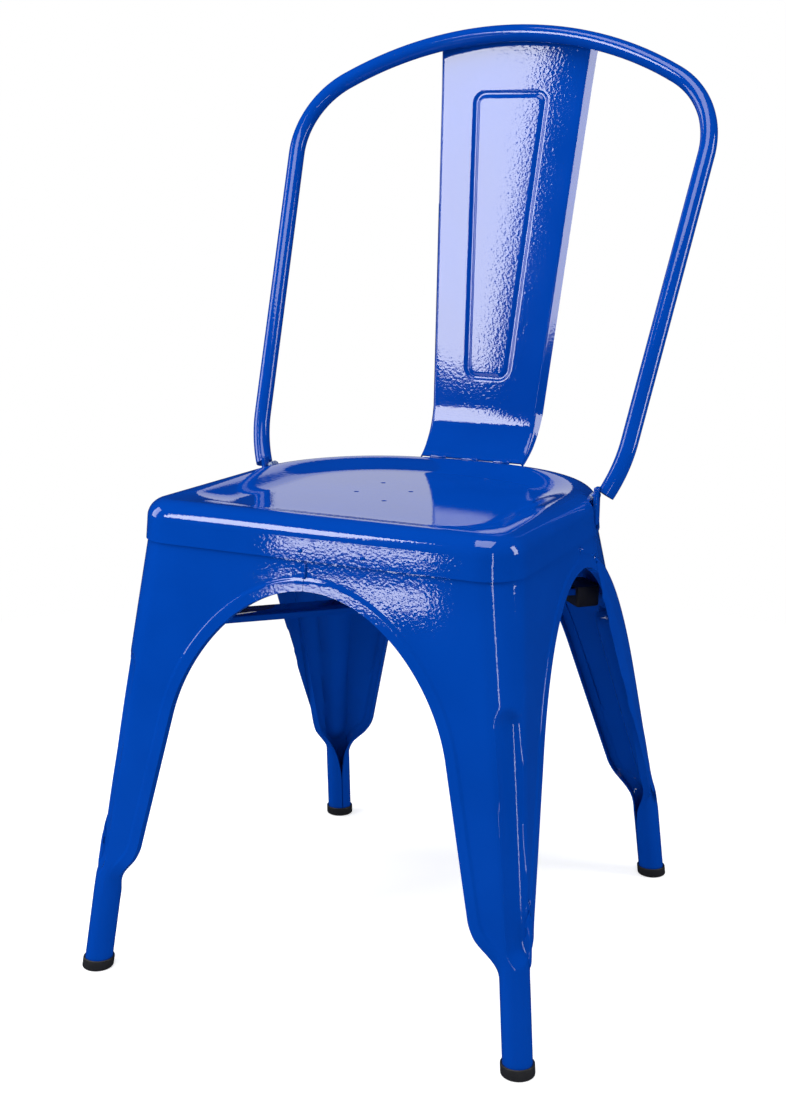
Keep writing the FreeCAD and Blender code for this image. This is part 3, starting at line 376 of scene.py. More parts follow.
rows = seat_rows()
print("the seat's blank has", len(rows), "rows of", len(rows[0]), "points")
seat = press_sheet("pressed_seat", rows)
modify(seat, "SOLIDIFY", thickness=SHEET, offset=-1, use_even_offset=True)

# %% [markdown]
# The drain holes and the two pockets for the hoop are punched after pressing. A Boolean with a
# plain cutter is the bench's punch: the cutter is added, used and thrown away.

# %% Punch the seat
HOLE_RADIUS, HOLES_MIDDLE, HOLES_TURN = 0.0025, Vector((-0.0185, -0.0190)), math.radians(27)
SHORT_ARM, LONG_ARM = 0.025, 0.043
POCKET_WIDTH, POCKET_DEPTH, POCKET_AHEAD, POCKET_DROP = 0.024, 0.027, 0.1229, 0.005
POCKET_Y, POCKET_TOP = SEAT_REAR - POCKET_AHEAD, seat_high - POCKET_DROP
HOLE_CUTTER, POCKET_CUTTER, HOLE_SIDES, POCKET_SIDES = 0.02, 0.03, 24, 40


def punch(piece, cutter):
    modify(piece, "BOOLEAN", operation="DIFFERENCE", solver="EXACT", object=cutter)
    bpy.data.objects.remove(cutter)


for quarter, arm in enumerate((SHORT_ARM, LONG_ARM, SHORT_ARM, LONG_ARM)):
    turned = HOLES_TURN + quarter * math.pi / 2
    spot = HOLES_MIDDLE + Vector((math.cos(turned), math.sin(turned))) * arm
    bpy.ops.mesh.primitive_cylinder_add(vertices=HOLE_SIDES, radius=HOLE_RADIUS, depth=HOLE_CUTTER,
                                        location=(spot.x, spot.y, DISH_MIDDLE.z))
    punch(seat, bpy.context.object)
round_z = POCKET_TOP - POCKET_DEPTH + POCKET_WIDTH / 2
height = POCKET_TOP - round_z
for side in (1, -1):
    x = side * SEAT_HALF
    bpy.ops.mesh.primitive_cylinder_add(
        vertices=POCKET_SIDES, radius=POCKET_WIDTH / 2, depth=POCKET_CUTTER,
        location=(x, POCKET_Y, round_z), rotation=(0, math.pi / 2, 0))
    punch(seat, bpy.context.object)
    bpy.ops.mesh.primitive_cube_add(size=1, location=(x, POCKET_Y, round_z + height / 2),
                                    scale=(POCKET_CUTTER, POCKET_WIDTH, height))
    punch(seat, bpy.context.object)
smooth(seat)
hand_over(seat, "blue_paint", "seat_pan")

# %% [markdown]
# ## The legs
# Each leg is a corner of sheet: two wings, an edge turned in along each arch, a raised band
# beside that edge, and a long dent in the corner. At the foot the same sheet rolls round into a
# tube. It could be cut from a solid with Booleans, but the press never cuts: it bends. So the
# blank's columns run across the sheet from one turned edge to the other, its rows run down from
# the skirt to the foot, and the last rows wrap round a circle.

# %% Leg sizes
SKIRT_GAP, TUBE_RADIUS = 0.0002, 0.0127
INSIDE_SKIRT = SHEET + SKIRT_GAP
leg_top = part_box("leg_front_right")[1].z
foot_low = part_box("leg_front_right")[0].z
FOOT = {"front": (0.2085, 0.2245), "rear": (0.1850, 0.2080)}
SEAM_Y, FRONT_SEAM_X, SEAM_GAP = -0.0210, 0.006, 0.0003
ARCH_DROP, SIDE_ARCH_DROP, ARM_DROP, FULLNESS = 0.0605, 0.0585, 0.1835, 0.47
ARCH_TOP, SIDE_ARCH_TOP = seat_high - ARCH_DROP, seat_high - SIDE_ARCH_DROP
ARM_TOP, ARM_LOW, SHOULDER = seat_high - ARM_DROP, 0.125, 0.070
ARMS = {"front": (0.1323, 0.1605), "rear": (0.101, 0.137)}
SIDE_ARM = (0.126, 0.1753)
FLANGE, BAND, BAND_HEIGHT = 0.0070, 0.010, 0.0011
DENT_RADIUS, DENT_DEPTH, DENT_HIGH, DENT_LOW = 0.018, 0.0065, 0.284, 0.106
SHOULDER_LOW, LEAST_TILT = 0.066, 0.02
SIGN = {"front": -1, "rear": 1}
DIAGONAL = {row: Vector((1, sign, 0)).normalized() for row, sign in SIGN.items()}
print("legs from z", round(foot_low, 4), "to", round(leg_top, 4), "m")
print("arches up to", round(ARCH_TOP, 4), "and", round(SIDE_ARCH_TOP, 4), "m")


# %% The leg's faces and corner
def leg_share(z):
    """0 at the skirt's edge, 1 where the corner is as tight as the foot's tube."""
    return max((seat_low - z) / (seat_low - SHOULDER_LOW), 0.0)


def leg_plan(row, z):
    """The leg's outer faces and corner at a height: side face, front or rear face, corner radius.

    The side face is tapered, and its offset is taken at the chair's middle.
    """
    tuck = WALL_LEAN * max(z - seat_low, 0.0) / skirt_height
    fall = max(seat_low - z, 0.0)
    top_x = SEAT_HALF - INSIDE_SKIRT / math.cos(TAPER)
    top_y = (SEAT_FRONT if row == "front" else SEAT_REAR) - INSIDE_SKIRT
    tube_x, tube_y = FOOT[row]
    foot_x = tube_x + TUBE_RADIUS / math.cos(TAPER) + SIGN[row] * tube_y * math.tan(TAPER)
    x = top_x + (foot_x - top_x) * fall / seat_low - tuck / math.cos(TAPER)
    y = top_y + (tube_y + TUBE_RADIUS - top_y) * fall / seat_low - tuck
    wide = (FRONT_CORNER if row == "front" else REAR_CORNER) - INSIDE_SKIRT
    return x, y, wide + (TUBE_RADIUS - wide) * leg_share(z) - tuck


def corner_centre(row, z, r):
    """Centre of an arc of radius r in the leg's corner, and how far the rear face tilts there."""
    x, y, _ = leg_plan(row, z)
    if row == "front":
        return side_x(x, r - y) - r / math.cos(TAPER), r - y, 0.0
    tilt = max(REAR_TILT * (1 - leg_share(z)), LEAST_TILT)
    reach = x * math.cos(TAPER) - r - (y - r) * math.sin(TAPER)
    cx = reach / (math.cos(TAPER) - math.tan(tilt / 2) * math.sin(TAPER))
    return cx, y - r - cx * math.tan(tilt / 2), tilt


def on_face(row, across, z):
    """A point of the front or rear wing, by its distance from the mirror plane."""
    _, y, r = leg_plan(row, z)
    if row == "front":
        return Vector((across, -y, z))
    cx, _, tilt = corner_centre(row, z, r)
    bow = r + cx / math.sin(tilt)
    return Vector((across, y - bow + math.sqrt(bow ** 2 - across ** 2), z))


def on_side(row, across, z):
    """A point of the side wing, by its distance from the side seam."""
    y = SEAM_Y + SIGN[row] * across
    return Vector((side_x(leg_plan(row, z)[0], y), y, z))


def corner_arc(row, z, steps):
    """Points round the leg's corner, from the front or rear wing to the side wing."""
    r = leg_plan(row, z)[2]
    cx, cy, tilt = corner_centre(row, z, r)
    start = math.pi if row == "front" else tilt
    return [on_circle(cx, cy, r, a) + Vector((0, 0, z)) for a in between(start, SIDE_ANGLE, steps)]


# %% [markdown]
# An arch is two soft bends joined by a straight arm. Bezier curves through a few sizes give it,
# and the same curve serves the turned edge, the raised band and the rows of the blank.


# %% Arch curves
CROWN_POINTS, ANKLE_POINTS = 80, 40


def bezier(poles, t):
    a, b, c, d = poles
    s = 1 - t
    return a * s ** 3 + b * (3 * s * s * t) + c * (3 * s * t * t) + d * t ** 3


def by_length(points, steps):
    """The same line with evenly spaced points."""
    lengths = [0.0]
    for a, b in zip(points, points[1:]):
        lengths.append(lengths[-1] + (b - a).length)
    out, k = [], 0
    for target in between(0.0, lengths[-1], steps):
        while k < len(points) - 2 and lengths[k + 1] < target:
            k += 1
        gap = lengths[k + 1] - lengths[k]
        out.append(points[k].lerp(points[k + 1], (target - lengths[k]) / gap if gap else 0.0))
    return out


def arch_curve(apex, arm, arm_low, tube_edge, near, counts):
    """The arch's edge as (across, height) points in three stretches: crown, arm and ankle."""
    rate = (arm_low - arm) / (ARM_TOP - ARM_LOW)
    rise = (apex - ARM_TOP) / 2
    fall = (ARM_LOW - SHOULDER) / 3
    arm_top, arm_foot = Vector((arm, ARM_TOP)), Vector((arm_low, ARM_LOW))
    crown_poles = [Vector((0, apex)), Vector((FULLNESS * arm, apex)),
                   Vector((arm - rate * rise, ARM_TOP + rise)), arm_top]
    crown = [bezier(crown_poles, t) for t in between(0, 1, CROWN_POINTS)]
    if near < 0:
        crown = [Vector((near, apex))] + crown
    crown = [p for p in crown if p.x >= near]
    ankle_poles = [arm_foot, Vector((arm_low + rate * fall, ARM_LOW - fall)),
                   Vector((tube_edge, SHOULDER + fall)), Vector((tube_edge, SHOULDER))]
    ankle = [bezier(ankle_poles, t) for t in between(0, 1, ANKLE_POINTS)]
    straight = [arm_top.lerp(arm_foot, t) for t in between(0, 1, counts[1])]
    return by_length(crown, counts[0]), straight, by_length(ankle, counts[2])


def distance_to(line, point):
    """Distance from a point to the nearest stretch of a line in the same plane."""
    best = math.inf
    for a, b in zip(line, line[1:]):
        run = b - a
        t = min(max((point - a).dot(run) / max(run.length_squared, 1e-12), 0.0), 1.0)
        best = min(best, (point - a - run * t).length)
    return best


# %% [markdown]
# A row of the blank crosses the leg. It starts at the tip of the turned edge, crosses the band
# and the wing to the corner, and mirrors that on the side.

# %% Leg rows
CROWN_ROWS, ARM_ROWS, ANKLE_ROWS, TUBE_ROWS = 52, 24, 34, 16
SEAM_ROWS, SEAM_TURN, SEAM_END, LEAST_PULL = 18, 0.030, 0.0010, 0.5
CORNER_STEPS = 16
BAND_STEPS = (0.0, 0.0014, 0.0032, 0.0050, 0.0066, 0.0080, 0.0090, 0.0100, 0.0110, 0.0122)
WING_STEPS = 9
FLANGE_STEPS, FLANGE_FADE = (1.00, 0.72, 0.44, 0.22, 0.10), 0.006
FEELER = 0.001
print("a leg has", SEAM_ROWS + CROWN_ROWS + ARM_ROWS + ANKLE_ROWS + TUBE_ROWS + 2, "rows")


def wing(row, face, edge, normal, corner_point, flange):
    """One row of one wing: the turned edge from its tip, the band, then on to the corner."""
    here = face(row, edge.x, edge.y)
    run = face(row, edge.x + FEELER, edge.y) - here
    rise = face(row, edge.x, edge.y + FEELER) - here
    inward = run.cross(rise).normalized()
    if inward.dot(Vector((here.x, here.y, 0))) > 0:
        inward = -inward
    points = [here + inward * flange * depth for depth in FLANGE_STEPS]
    spots = [edge + normal * step for step in BAND_STEPS]
    across = corner_point.x if face is on_face else abs(corner_point.y - SEAM_Y)
    corner_spot = Vector((across, corner_point.z))
    spots += [spots[-1].lerp(corner_spot, share) for share in between(0, 1, WING_STEPS)[1:-1]]
    return points + [face(row, spot.x, spot.y) for spot in spots]


def fan(away, square):
    """A row's direction near the seam, where it halves the corner between the seam and the arch.

    It is stretched as it turns, so that the band keeps its width.
    """
    turned = Vector((1, 1)).lerp(square * math.sqrt(2), ease(away, 0, SEAM_TURN))
    return turned / max(turned.dot(square), LEAST_PULL)


# %% Leg rows from the skirt to the ankle
def leg_rows(row, near):
    """All rows of one leg before dressing, and the two arch lines that they start from."""
    tube_x, tube_y, _ = corner_centre(row, SHOULDER, TUBE_RADIUS)
    tube_edges = (tube_x - TUBE_RADIUS, abs(tube_y - SEAM_Y) - TUBE_RADIUS)
    counts = (CROWN_ROWS, ARM_ROWS, ANKLE_ROWS)
    starts = (near, SEAM_GAP / 2)
    curves = (arch_curve(ARCH_TOP, *ARMS[row], tube_edges[0], starts[0], counts),
              arch_curve(SIDE_ARCH_TOP, *SIDE_ARM, tube_edges[1], starts[1], counts))
    rows = []

    def add(edges, corner_z, normals, flange):
        arc = corner_arc(row, corner_z, CORNER_STEPS)
        first = wing(row, on_face, edges[0], normals[0], arc[0], flange)
        second = wing(row, on_side, edges[1], normals[1], arc[-1], flange)
        rows.append(first + arc + second[::-1])

    for above in between(leg_top - ARCH_TOP, SEAM_END, SEAM_ROWS):
        share = above / (leg_top - ARCH_TOP)
        edges = [Vector((starts[0], ARCH_TOP + above)),
                 Vector((starts[1], SIDE_ARCH_TOP + share * (leg_top - SIDE_ARCH_TOP)))]
        corner_z = seat_low + (leg_top - seat_low) * share
        normal = fan(above, Vector((1, 0)))
        add(edges, corner_z, (normal, normal), FLANGE * (1 - ease(above, 0, FLANGE_FADE)))
    for stretch, count in enumerate(counts):
        at_crown = stretch == 0
        for k in range(0 if at_crown else 1, count + 1):
            edges, normals = [], []
            for curve, start in zip(curves, starts):
                part = curve[stretch]
                run = (part[min(k + 1, len(part) - 1)] - part[max(k - 1, 0)]).normalized()
                square = Vector((-run.y, run.x))
                edges.append(part[k])
                normals.append(fan(part[k].x - start, square) if at_crown else square)
            corner_z = edges[0].y
            if at_crown:
                corner_z = ARM_TOP + (seat_low - ARM_TOP) * (1 - k / count)
            add(edges, corner_z, normals, FLANGE)
    return rows, [sum(curve, []) for curve in curves]


# %% [markdown]
# Each row is then dressed: the band beside the arch is raised, and a long round-ended plug is
# pressed into the corner. The lips of both are eased, since sheet can't be bent to a sharp line.


# %% Dress the rows
DENT_LIP, BAND_LIP = 0.0012, 0.0012


def outward_at(row, point, index, count):
    """The way out of the sheet at a point of a row."""
    wing_count = len(FLANGE_STEPS) + len(BAND_STEPS) + WING_STEPS - 1
    if index < wing_count:
        return Vector((0, SIGN[row], 0))
    if index >= count - wing_count:
        return Vector((math.cos(TAPER), math.sin(TAPER), 0))
    cx, cy, _ = corner_centre(row, point.z, leg_plan(row, point.z)[2])
    return Vector((point.x - cx, point.y - cy, 0)).normalized()


def raise_band(row, points, lines):
    dressed = []
    for i, point in enumerate(points):
        first = i < len(points) / 2
        across = point.x if first else abs(point.y - SEAM_Y)
        away = distance_to(lines[0 if first else 1], Vector((across, point.z)))
        lift = BAND_HEIGHT * (1 - ease(away, BAND - BAND_LIP, BAND + BAND_LIP))
        dressed.append(point + outward_at(row, point, i, len(points)) * lift if lift > 0 else point)
    return dressed


def dent(row, point):
    """Press the corner in with a long round-ended plug."""
    z = point.z
    past = max(z - DENT_HIGH, DENT_LOW - z, 0.0)
    if past >= DENT_RADIUS:
        return point
    cx, cy, _ = corner_centre(row, z, TUBE_RADIUS)
    r = leg_plan(row, z)[2]
    out = DIAGONAL[row]
    offset = point - Vector((cx, cy, z))
    aside = offset.dot(Vector((-out.y, out.x, 0)))
    square = DENT_RADIUS ** 2 - aside ** 2 - past ** 2
    if square <= 0:
        return point
    corner = TUBE_RADIUS - (r - TUBE_RADIUS) * (math.sqrt(2) - 1)
    gap = corner + DENT_RADIUS - DENT_DEPTH - math.sqrt(square) - offset.dot(out)
    if gap > DENT_LIP:
        return point
    if gap < -DENT_LIP:
        return point + out * gap
    return point - out * ((DENT_LIP - gap) ** 2 / (4 * DENT_LIP))


# %% [markdown]
# Near the foot the row's points slide onto a circle, a little more with each row, which is how
# the real sheet closes. The slit behind it narrows to a hair at the ankle.


# %% Roll the foot
ROLL_LOW, ROLL_HIGH = 0.072, 0.112
SLIT_LOW, SLIT_HIGH, SLIT_WIDE, SLIT_HAIR = 0.046, 0.092, 0.0100, 0.0008
SPACING_ROW = -6  # the row above the tube whose spacing the tube's rows take over
PLATE_LOW = 0.15


def tube_circle(row, z, shares):
    """Where the row's points lie once the sheet is rolled: round a circle, open inwards."""
    cx, cy, _ = corner_centre(row, z, TUBE_RADIUS)
    out = DIAGONAL[row]
    side = Vector((-out.y, out.x, 0)) * SIGN[row]
    slit = SLIT_HAIR + SLIT_WIDE * ease(z, SLIT_LOW, SLIT_HIGH)
    half = math.pi - slit / 2 / TUBE_RADIUS
    angles = [half * (2 * share - 1) for share in shares]
    return [Vector((cx, cy, z)) + (out * math.cos(a) - side * math.sin(a)) * TUBE_RADIUS
            for a in angles]


def running_shares(points):
    """How far along the row each point is, with the corner's middle at one half."""
    lengths = [0.0]
    for a, b in zip(points, points[1:]):
        lengths.append(lengths[-1] + (b - a).length)
    half = lengths[len(points) // 2]
    rest = lengths[-1] - half
    return [0.5 * v / half if v <= half else 0.5 + 0.5 * (v - half) / rest for v in lengths]


def leg_table(row, near):
    rows, lines = leg_rows(row, near)
    middle = len(rows[0]) // 2
    dressed = [[dent(row, point) for point in raise_band(row, points, lines)] for points in rows]
    shares = running_shares(dressed[SPACING_ROW])
    table = []
    for points in dressed:
        rolled = 1 - ease(points[middle].z, ROLL_LOW, ROLL_HIGH)
        if rolled > 0:
            circle = tube_circle(row, points[middle].z, shares)
            points = [a.lerp(Vector((b.x, b.y, a.z)), rolled) for a, b in zip(points, circle)]
        table.append(points)
    return table + [tube_circle(row, z, shares) for z in between(SHOULDER, foot_low, TUBE_ROWS)[1:]]


# %% Press the legs
def faces_out(piece):
    """True when the sheet's outer side points away from the chair's middle, above the ankle."""
    faces = [face for face in piece.data.polygons if face.center.z > PLATE_LOW]
    return sum(face.normal.dot(Vector((face.center.x, face.center.y, 0))) * face.area
               for face in faces) > 0


for row in ("front", "rear"):
    for hand in ("right", "left"):
        near = SEAM_GAP / 2
        if row == "front":
            near += -FRONT_SEAM_X if hand == "right" else FRONT_SEAM_X
        leg = press_sheet("pressed_leg_%s_%s" % (row, hand), leg_table(row, near), hand)
        if not faces_out(leg):
            weld_and_face(leg, inside_out=True)
        modify(leg, "SOLIDIFY", thickness=SHEET, offset=-1, use_even_offset=False)
        smooth(leg)
        hand_over(leg, "blue_paint", "leg_%s_%s" % (row, hand))

# %% [markdown]
# ## The back hoop
# The hoop is one tube bent in a leaning plane: a flat crown, two round shoulders, straight sides
# and a slow bend at each foot. The side's lean isn't a size of its own. It is found by halving, so
# that the foot lands beside the seat's rim, as the bender's stop would be set. A flat tongue at
# each foot goes into the seat's pocket.

# %% Hoop sizes
HOOP_TUBE, HOOP_LEAN = 0.008, math.radians(24.7)
HOOP_HALF, HOOP_HEIGHT, HOOP_CROWN, HOOP_CORNER = 0.2138, 0.4564, 0.341, 0.0835
FOOT_BEND, FOOT_TURN, FOOT_CUT, FOOT_CLEAR = 0.154, math.radians(19.8), 0.006, 0.002
HOOP_AHEAD, HOOP_DROP = 0.1181, 0.0075
HOOP_Y, HOOP_Z = SEAT_REAR - HOOP_AHEAD, seat_high - HOOP_DROP
CORNER_X = HOOP_HALF - HOOP_CORNER
CORNER_Y = HOOP_HEIGHT - HOOP_CROWN + math.sqrt((HOOP_CROWN - HOOP_CORNER) ** 2 - CORNER_X ** 2)
LEAN_LOW, LEAN_HIGH, LEAN_HALVINGS = math.radians(-20), math.radians(30), 50
TONGUE = Vector((0.004, 0.009, 0.034))
TONGUE_INSET, TONGUE_DROP, TONGUE_SOFT = 0.0055, 0.028, 0.0012
CROWN_STEPS, BEND_STEPS, STRAIGHT_STEPS, FOOT_STEPS, ROUND_STEPS = 18, 26, 16, 14, 32
HOOP_OUT = Vector((0, -math.cos(HOOP_LEAN), math.sin(HOOP_LEAN)))


# %% Bend the hoop
def hoop_side(lean):
    """Shoulder's end, then the straight side and the foot bend, in the hoop's plane."""
    shoulder = Vector((CORNER_X + HOOP_CORNER * math.cos(lean),
                       CORNER_Y - HOOP_CORNER * math.sin(lean)))
    down = Vector((-math.sin(lean), -math.cos(lean)))
    aside = Vector((-math.cos(lean), math.sin(lean)))
    bend = [down * FOOT_BEND * math.sin(a) + aside * FOOT_BEND * (1 - math.cos(a))
            for a in between(0, FOOT_TURN, FOOT_STEPS)]
    start = shoulder + down * ((shoulder.y + bend[-1].y - FOOT_CUT) / -down.y)
    straight = [shoulder.lerp(start, share) for share in between(0, 1, STRAIGHT_STEPS)[:-1]]
    return straight + [start + step for step in bend]


def hoop_half():
    """Right half of the hoop's line, from the crown's middle to the foot."""
    target = side_x(SEAT_HALF, HOOP_Y) + FOOT_CLEAR
    low, high = LEAN_LOW, LEAN_HIGH
    for _ in range(LEAN_HALVINGS):
        lean = (low + high) / 2
        low, high = (lean, high) if hoop_side(lean)[-1].x > target else (low, lean)
    meet = math.atan2(CORNER_Y - HOOP_HEIGHT + HOOP_CROWN, CORNER_X)
    crown = [Vector((HOOP_CROWN * math.cos(a), HOOP_HEIGHT - HOOP_CROWN + HOOP_CROWN * math.sin(a)))
             for a in between(math.pi / 2, meet, CROWN_STEPS)]
    corner = [Vector((CORNER_X + HOOP_CORNER * math.cos(a), CORNER_Y + HOOP_CORNER * math.sin(a)))
              for a in between(meet, -lean, BEND_STEPS)]
    return crown + corner[1:-1] + hoop_side(lean)


half = hoop_half()
flat = [Vector((-p.x, p.y)) for p in reversed(half[1:])] + half
line = [Vector((p.x, HOOP_Y + p.y * math.sin(HOOP_LEAN), HOOP_Z + p.y * math.cos(HOOP_LEAN)))
        for p in flat]
tube_length = sum((b - a).length for a, b in zip(line, line[1:]))
print("the hoop's tube is", round(tube_length, 3), "m long")


# %% Sweep the tube and add the tongues
def tube_rings(line, radius, end_steps=5):
    """Rings round a bent line, drawn in to a point at each end with a small round edge."""
    rings = []
    for k, place in enumerate(line):
        run = (line[min(k + 1, len(line) - 1)] - line[max(k - 1, 0)]).normalized()
        aside = run.cross(HOOP_OUT)
        ends = {0: between(0, 1, end_steps), len(line) - 1: between(1, 0, end_steps)}.get(k, [1.0])
        for share in ends:
            size = radius * share
            rings.append([place + (HOOP_OUT * math.cos(a) + aside * math.sin(a)) * size
                          for a in between(0, 2 * math.pi, ROUND_STEPS)])
    return rings


hoop = press_sheet("bent_hoop", tube_rings(line, HOOP_TUBE))
tongues = []
for side in (1, -1):
    x = side * (side_x(SEAT_HALF, POCKET_Y) - TONGUE_INSET + TONGUE.x / 2)
    place = (x, POCKET_Y, seat_high - TONGUE_DROP + TONGUE.z / 2)
    bpy.ops.mesh.primitive_cube_add(size=1, location=place, scale=TONGUE)
    tongue = bpy.context.object
    bpy.ops.object.transform_apply(location=True, rotation=True, scale=True)
    modify(tongue, "BEVEL", width=TONGUE_SOFT, segments=3)
    tongues.append(tongue)
select_only(hoop)
for tongue in tongues:
    tongue.select_set(True)
bpy.ops.object.join()
smooth(hoop)
hand_over(hoop, "blue_paint", "back_hoop")

# %% [markdown]
# ## The splat
# The splat is one pressed channel. It widens towards the top, its flanges fold back, its toe
# curves forward onto the seat, and a groove with round corners is pressed into its face. The
# groove needs a fine grid only where it runs, so rows and columns are crowded beside its line.

# %% Splat sizes
WAIST_HALF, TOP_HALF, WIDEST_DROP = 0.0560, 0.0786, 0.0096
TOE_AHEAD, WAIST_BACK, WAIST_HEIGHT, HOOP_GAP = 0.0159, 0.0344, 0.0465, 0.00006
crown_point = Vector((0, HOOP_Y + HOOP_HEIGHT * math.sin(HOOP_LEAN),
                      HOOP_Z + HOOP_HEIGHT * math.cos(HOOP_LEAN)))
toe_point = Vector((0, SEAT_REAR - TOE_AHEAD, seat_high - SHEET))
waist_point = Vector((0, toe_point.y + WAIST_BACK, seat_high + WAIST_HEIGHT))
reach = crown_point - waist_point
SPLAT_LEAN = math.atan2(reach.y, reach.z) + math.asin((HOOP_TUBE + HOOP_GAP) / reach.length)
SPLAT_UP = Vector((0, math.sin(SPLAT_LEAN), math.cos(SPLAT_LEAN)))
SPLAT_AHEAD = Vector((0, -math.cos(SPLAT_LEAN), math.sin(SPLAT_LEAN)))
EDGE_ROUND, FLANGE_TOE, FLANGE_DEEP, FLARE, BEND_SHARE = 0.0030, 0.0030, 0.0092, 0.55, 0.6
PANEL_FOOT, PANEL_TOP, PANEL_RISE, PANEL_DROP = 0.021, 0.0365, 0.031, 0.0566
PANEL_LOW = PANEL_RISE / math.cos(SPLAT_LEAN)
PANEL_HIGH = (crown_point.z - PANEL_DROP - waist_point.z) / math.cos(SPLAT_LEAN)
PANEL_CORNER, GROOVE_HALF, GROOVE_DEEP, GROOVE_FLAT = 0.009, 0.0035, 0.0010, 0.0012
CROWN_BEND = HOOP_CROWN / math.cos(HOOP_LEAN)
GROOVE_STEPS = [0.001 * k for k in range(-12, 6)]
CROWD_INSIDE, CROWD_OUTSIDE = 0.013, 0.006
TOE_LONGEST, TOE_HALVINGS, TOE_CLEAR = 0.09, 40, 0.0003
INNER_STEPS, OUTER_STEPS, FOLD_STEPS, FLANGE_PARTS = 4, 8, 5, 4
print("the splat leans", round(math.degrees(SPLAT_LEAN), 2), "degrees")


# %% The splat's middle line and rows
def splat_top(x):
    """How far up the straight part the splat ends, below the hoop's curved crown."""
    z = crown_point.z - CROWN_BEND + math.sqrt(CROWN_BEND ** 2 - x ** 2)
    return (z - waist_point.z) / math.cos(SPLAT_LEAN)


def splat_place(up):
    """A point on the splat's middle line, with its way up and its way back."""
    if up >= 0:
        return waist_point + SPLAT_UP * up, SPLAT_UP, -SPLAT_AHEAD
    chord = toe_point - waist_point
    radius = chord.dot(chord) / (2 * chord.dot(SPLAT_AHEAD))
    angle = -up / radius
    centre = waist_point + SPLAT_AHEAD * radius
    place = centre - SPLAT_AHEAD * radius * math.cos(angle) - SPLAT_UP * radius * math.sin(angle)
    rise = SPLAT_UP * math.cos(angle) - SPLAT_AHEAD * math.sin(angle)
    return place, rise, -(SPLAT_AHEAD * math.cos(angle) + SPLAT_UP * math.sin(angle))


def toe_length():
    """Length of the toe's curve down to just above the seat's rim."""
    low, high = 0.0, TOE_LONGEST
    for _ in range(TOE_HALVINGS):
        middle = (low + high) / 2
        clear = splat_place(-middle)[0].z > seat_high + TOE_CLEAR
        low, high = (middle, high) if clear else (low, middle)
    return low


def groove(x, up):
    """Depth of the groove, from the distance to its tapered, round-cornered line."""
    half = PANEL_FOOT + (PANEL_TOP - PANEL_FOOT) * (up - PANEL_LOW) / (PANEL_HIGH - PANEL_LOW)
    a, b = abs(x) - half + PANEL_CORNER, max(up - PANEL_HIGH, PANEL_LOW - up) + PANEL_CORNER
    outside = math.hypot(max(a, 0), max(b, 0)) + min(max(a, b), 0) - PANEL_CORNER
    return GROOVE_DEEP * (1 - ease(abs(outside), GROOVE_FLAT, GROOVE_HALF))


def splat_columns(up, width):
    """Places across the right half of the face, crowded beside the groove."""
    share = min(max((up - PANEL_LOW) / (PANEL_HIGH - PANEL_LOW), 0), 1)
    half = PANEL_FOOT + (PANEL_TOP - PANEL_FOOT) * share
    crowd = [half + step for step in GROOVE_STEPS]
    inner = between(0, crowd[0], INNER_STEPS)[:-1]
    return inner + crowd + between(crowd[-1], width - EDGE_ROUND, OUTER_STEPS)[1:]


def splat_row(up_of):
    """One row: the face with its groove, then the rounded edge and the flange, mirrored."""
    middle = up_of(0.0)
    width = WAIST_HALF + (TOP_HALF - WAIST_HALF) * max(middle, 0) / (splat_top(0) - WIDEST_DROP)
    risen = min(max((splat_place(middle)[0].z - seat_high) / WAIST_HEIGHT, 0), 1)
    deep = FLANGE_TOE + (FLANGE_DEEP - FLANGE_TOE) * risen
    half = [(x, groove(x, up_of(x)) if middle > 0 else 0.0) for x in splat_columns(middle, width)]
    bend = min(EDGE_ROUND, deep * BEND_SHARE)
    fold = math.pi / 2 - math.atan(FLARE)
    half += [(width - EDGE_ROUND + bend * math.sin(a), bend * (1 - math.cos(a)))
             for a in between(0, fold, FOLD_STEPS)[1:]]
    x, d = half[-1]
    half += [(x + (deep - d) * FLARE * share, d + (deep - d) * share)
             for share in between(0, 1, FLANGE_PARTS)[1:]]
    row = []
    for x, d in [(-x, d) for x, d in reversed(half[1:])] + half:
        place, rise, back = splat_place(up_of(x))
        row.append(place + Vector((x, 0, 0)) + back * d)
    return row


# %% Press the splat
TOE_ROWS, LOW_ROWS, PANEL_ROWS, TOP_ROWS = 14, 4, 22, 8
TOP_START = PANEL_HIGH + CROWD_OUTSIDE


def level_row(level):
    return splat_row(lambda x: level)


def crown_row(share):
    """A row that bends from level at share 0 to the hoop's crown at share 1."""
    return splat_row(lambda x: TOP_START + (splat_top(x) - TOP_START) * share)


levels = between(-toe_length(), 0, TOE_ROWS)[:-1]
levels += between(0, PANEL_LOW - CROWD_OUTSIDE, LOW_ROWS)[:-1]
levels += [PANEL_LOW - step for step in reversed(GROOVE_STEPS)]
levels += between(PANEL_LOW + CROWD_INSIDE, PANEL_HIGH - CROWD_INSIDE, PANEL_ROWS)
levels += [PANEL_HIGH + step for step in GROOVE_STEPS]
table = [level_row(level) for level in levels]
table += [crown_row(share) for share in between(0, 1, TOP_ROWS)]
splat = press_sheet("pressed_splat", table)
if sum(face.normal.y * face.area for face in splat.data.polygons) > 0:
    weld_and_face(splat, inside_out=True)
modify(splat, "SOLIDIFY", thickness=SHEET, offset=-1, use_even_offset=False)
smooth(splat)
hand_over(splat, "blue_paint", "back_splat")

# %% [markdown]
# ## Rubber feet
# A foot is a cup on the end of the tube. Its section is drawn once, with a softened sole and
# brim, and swept round the tube's leaning middle line.

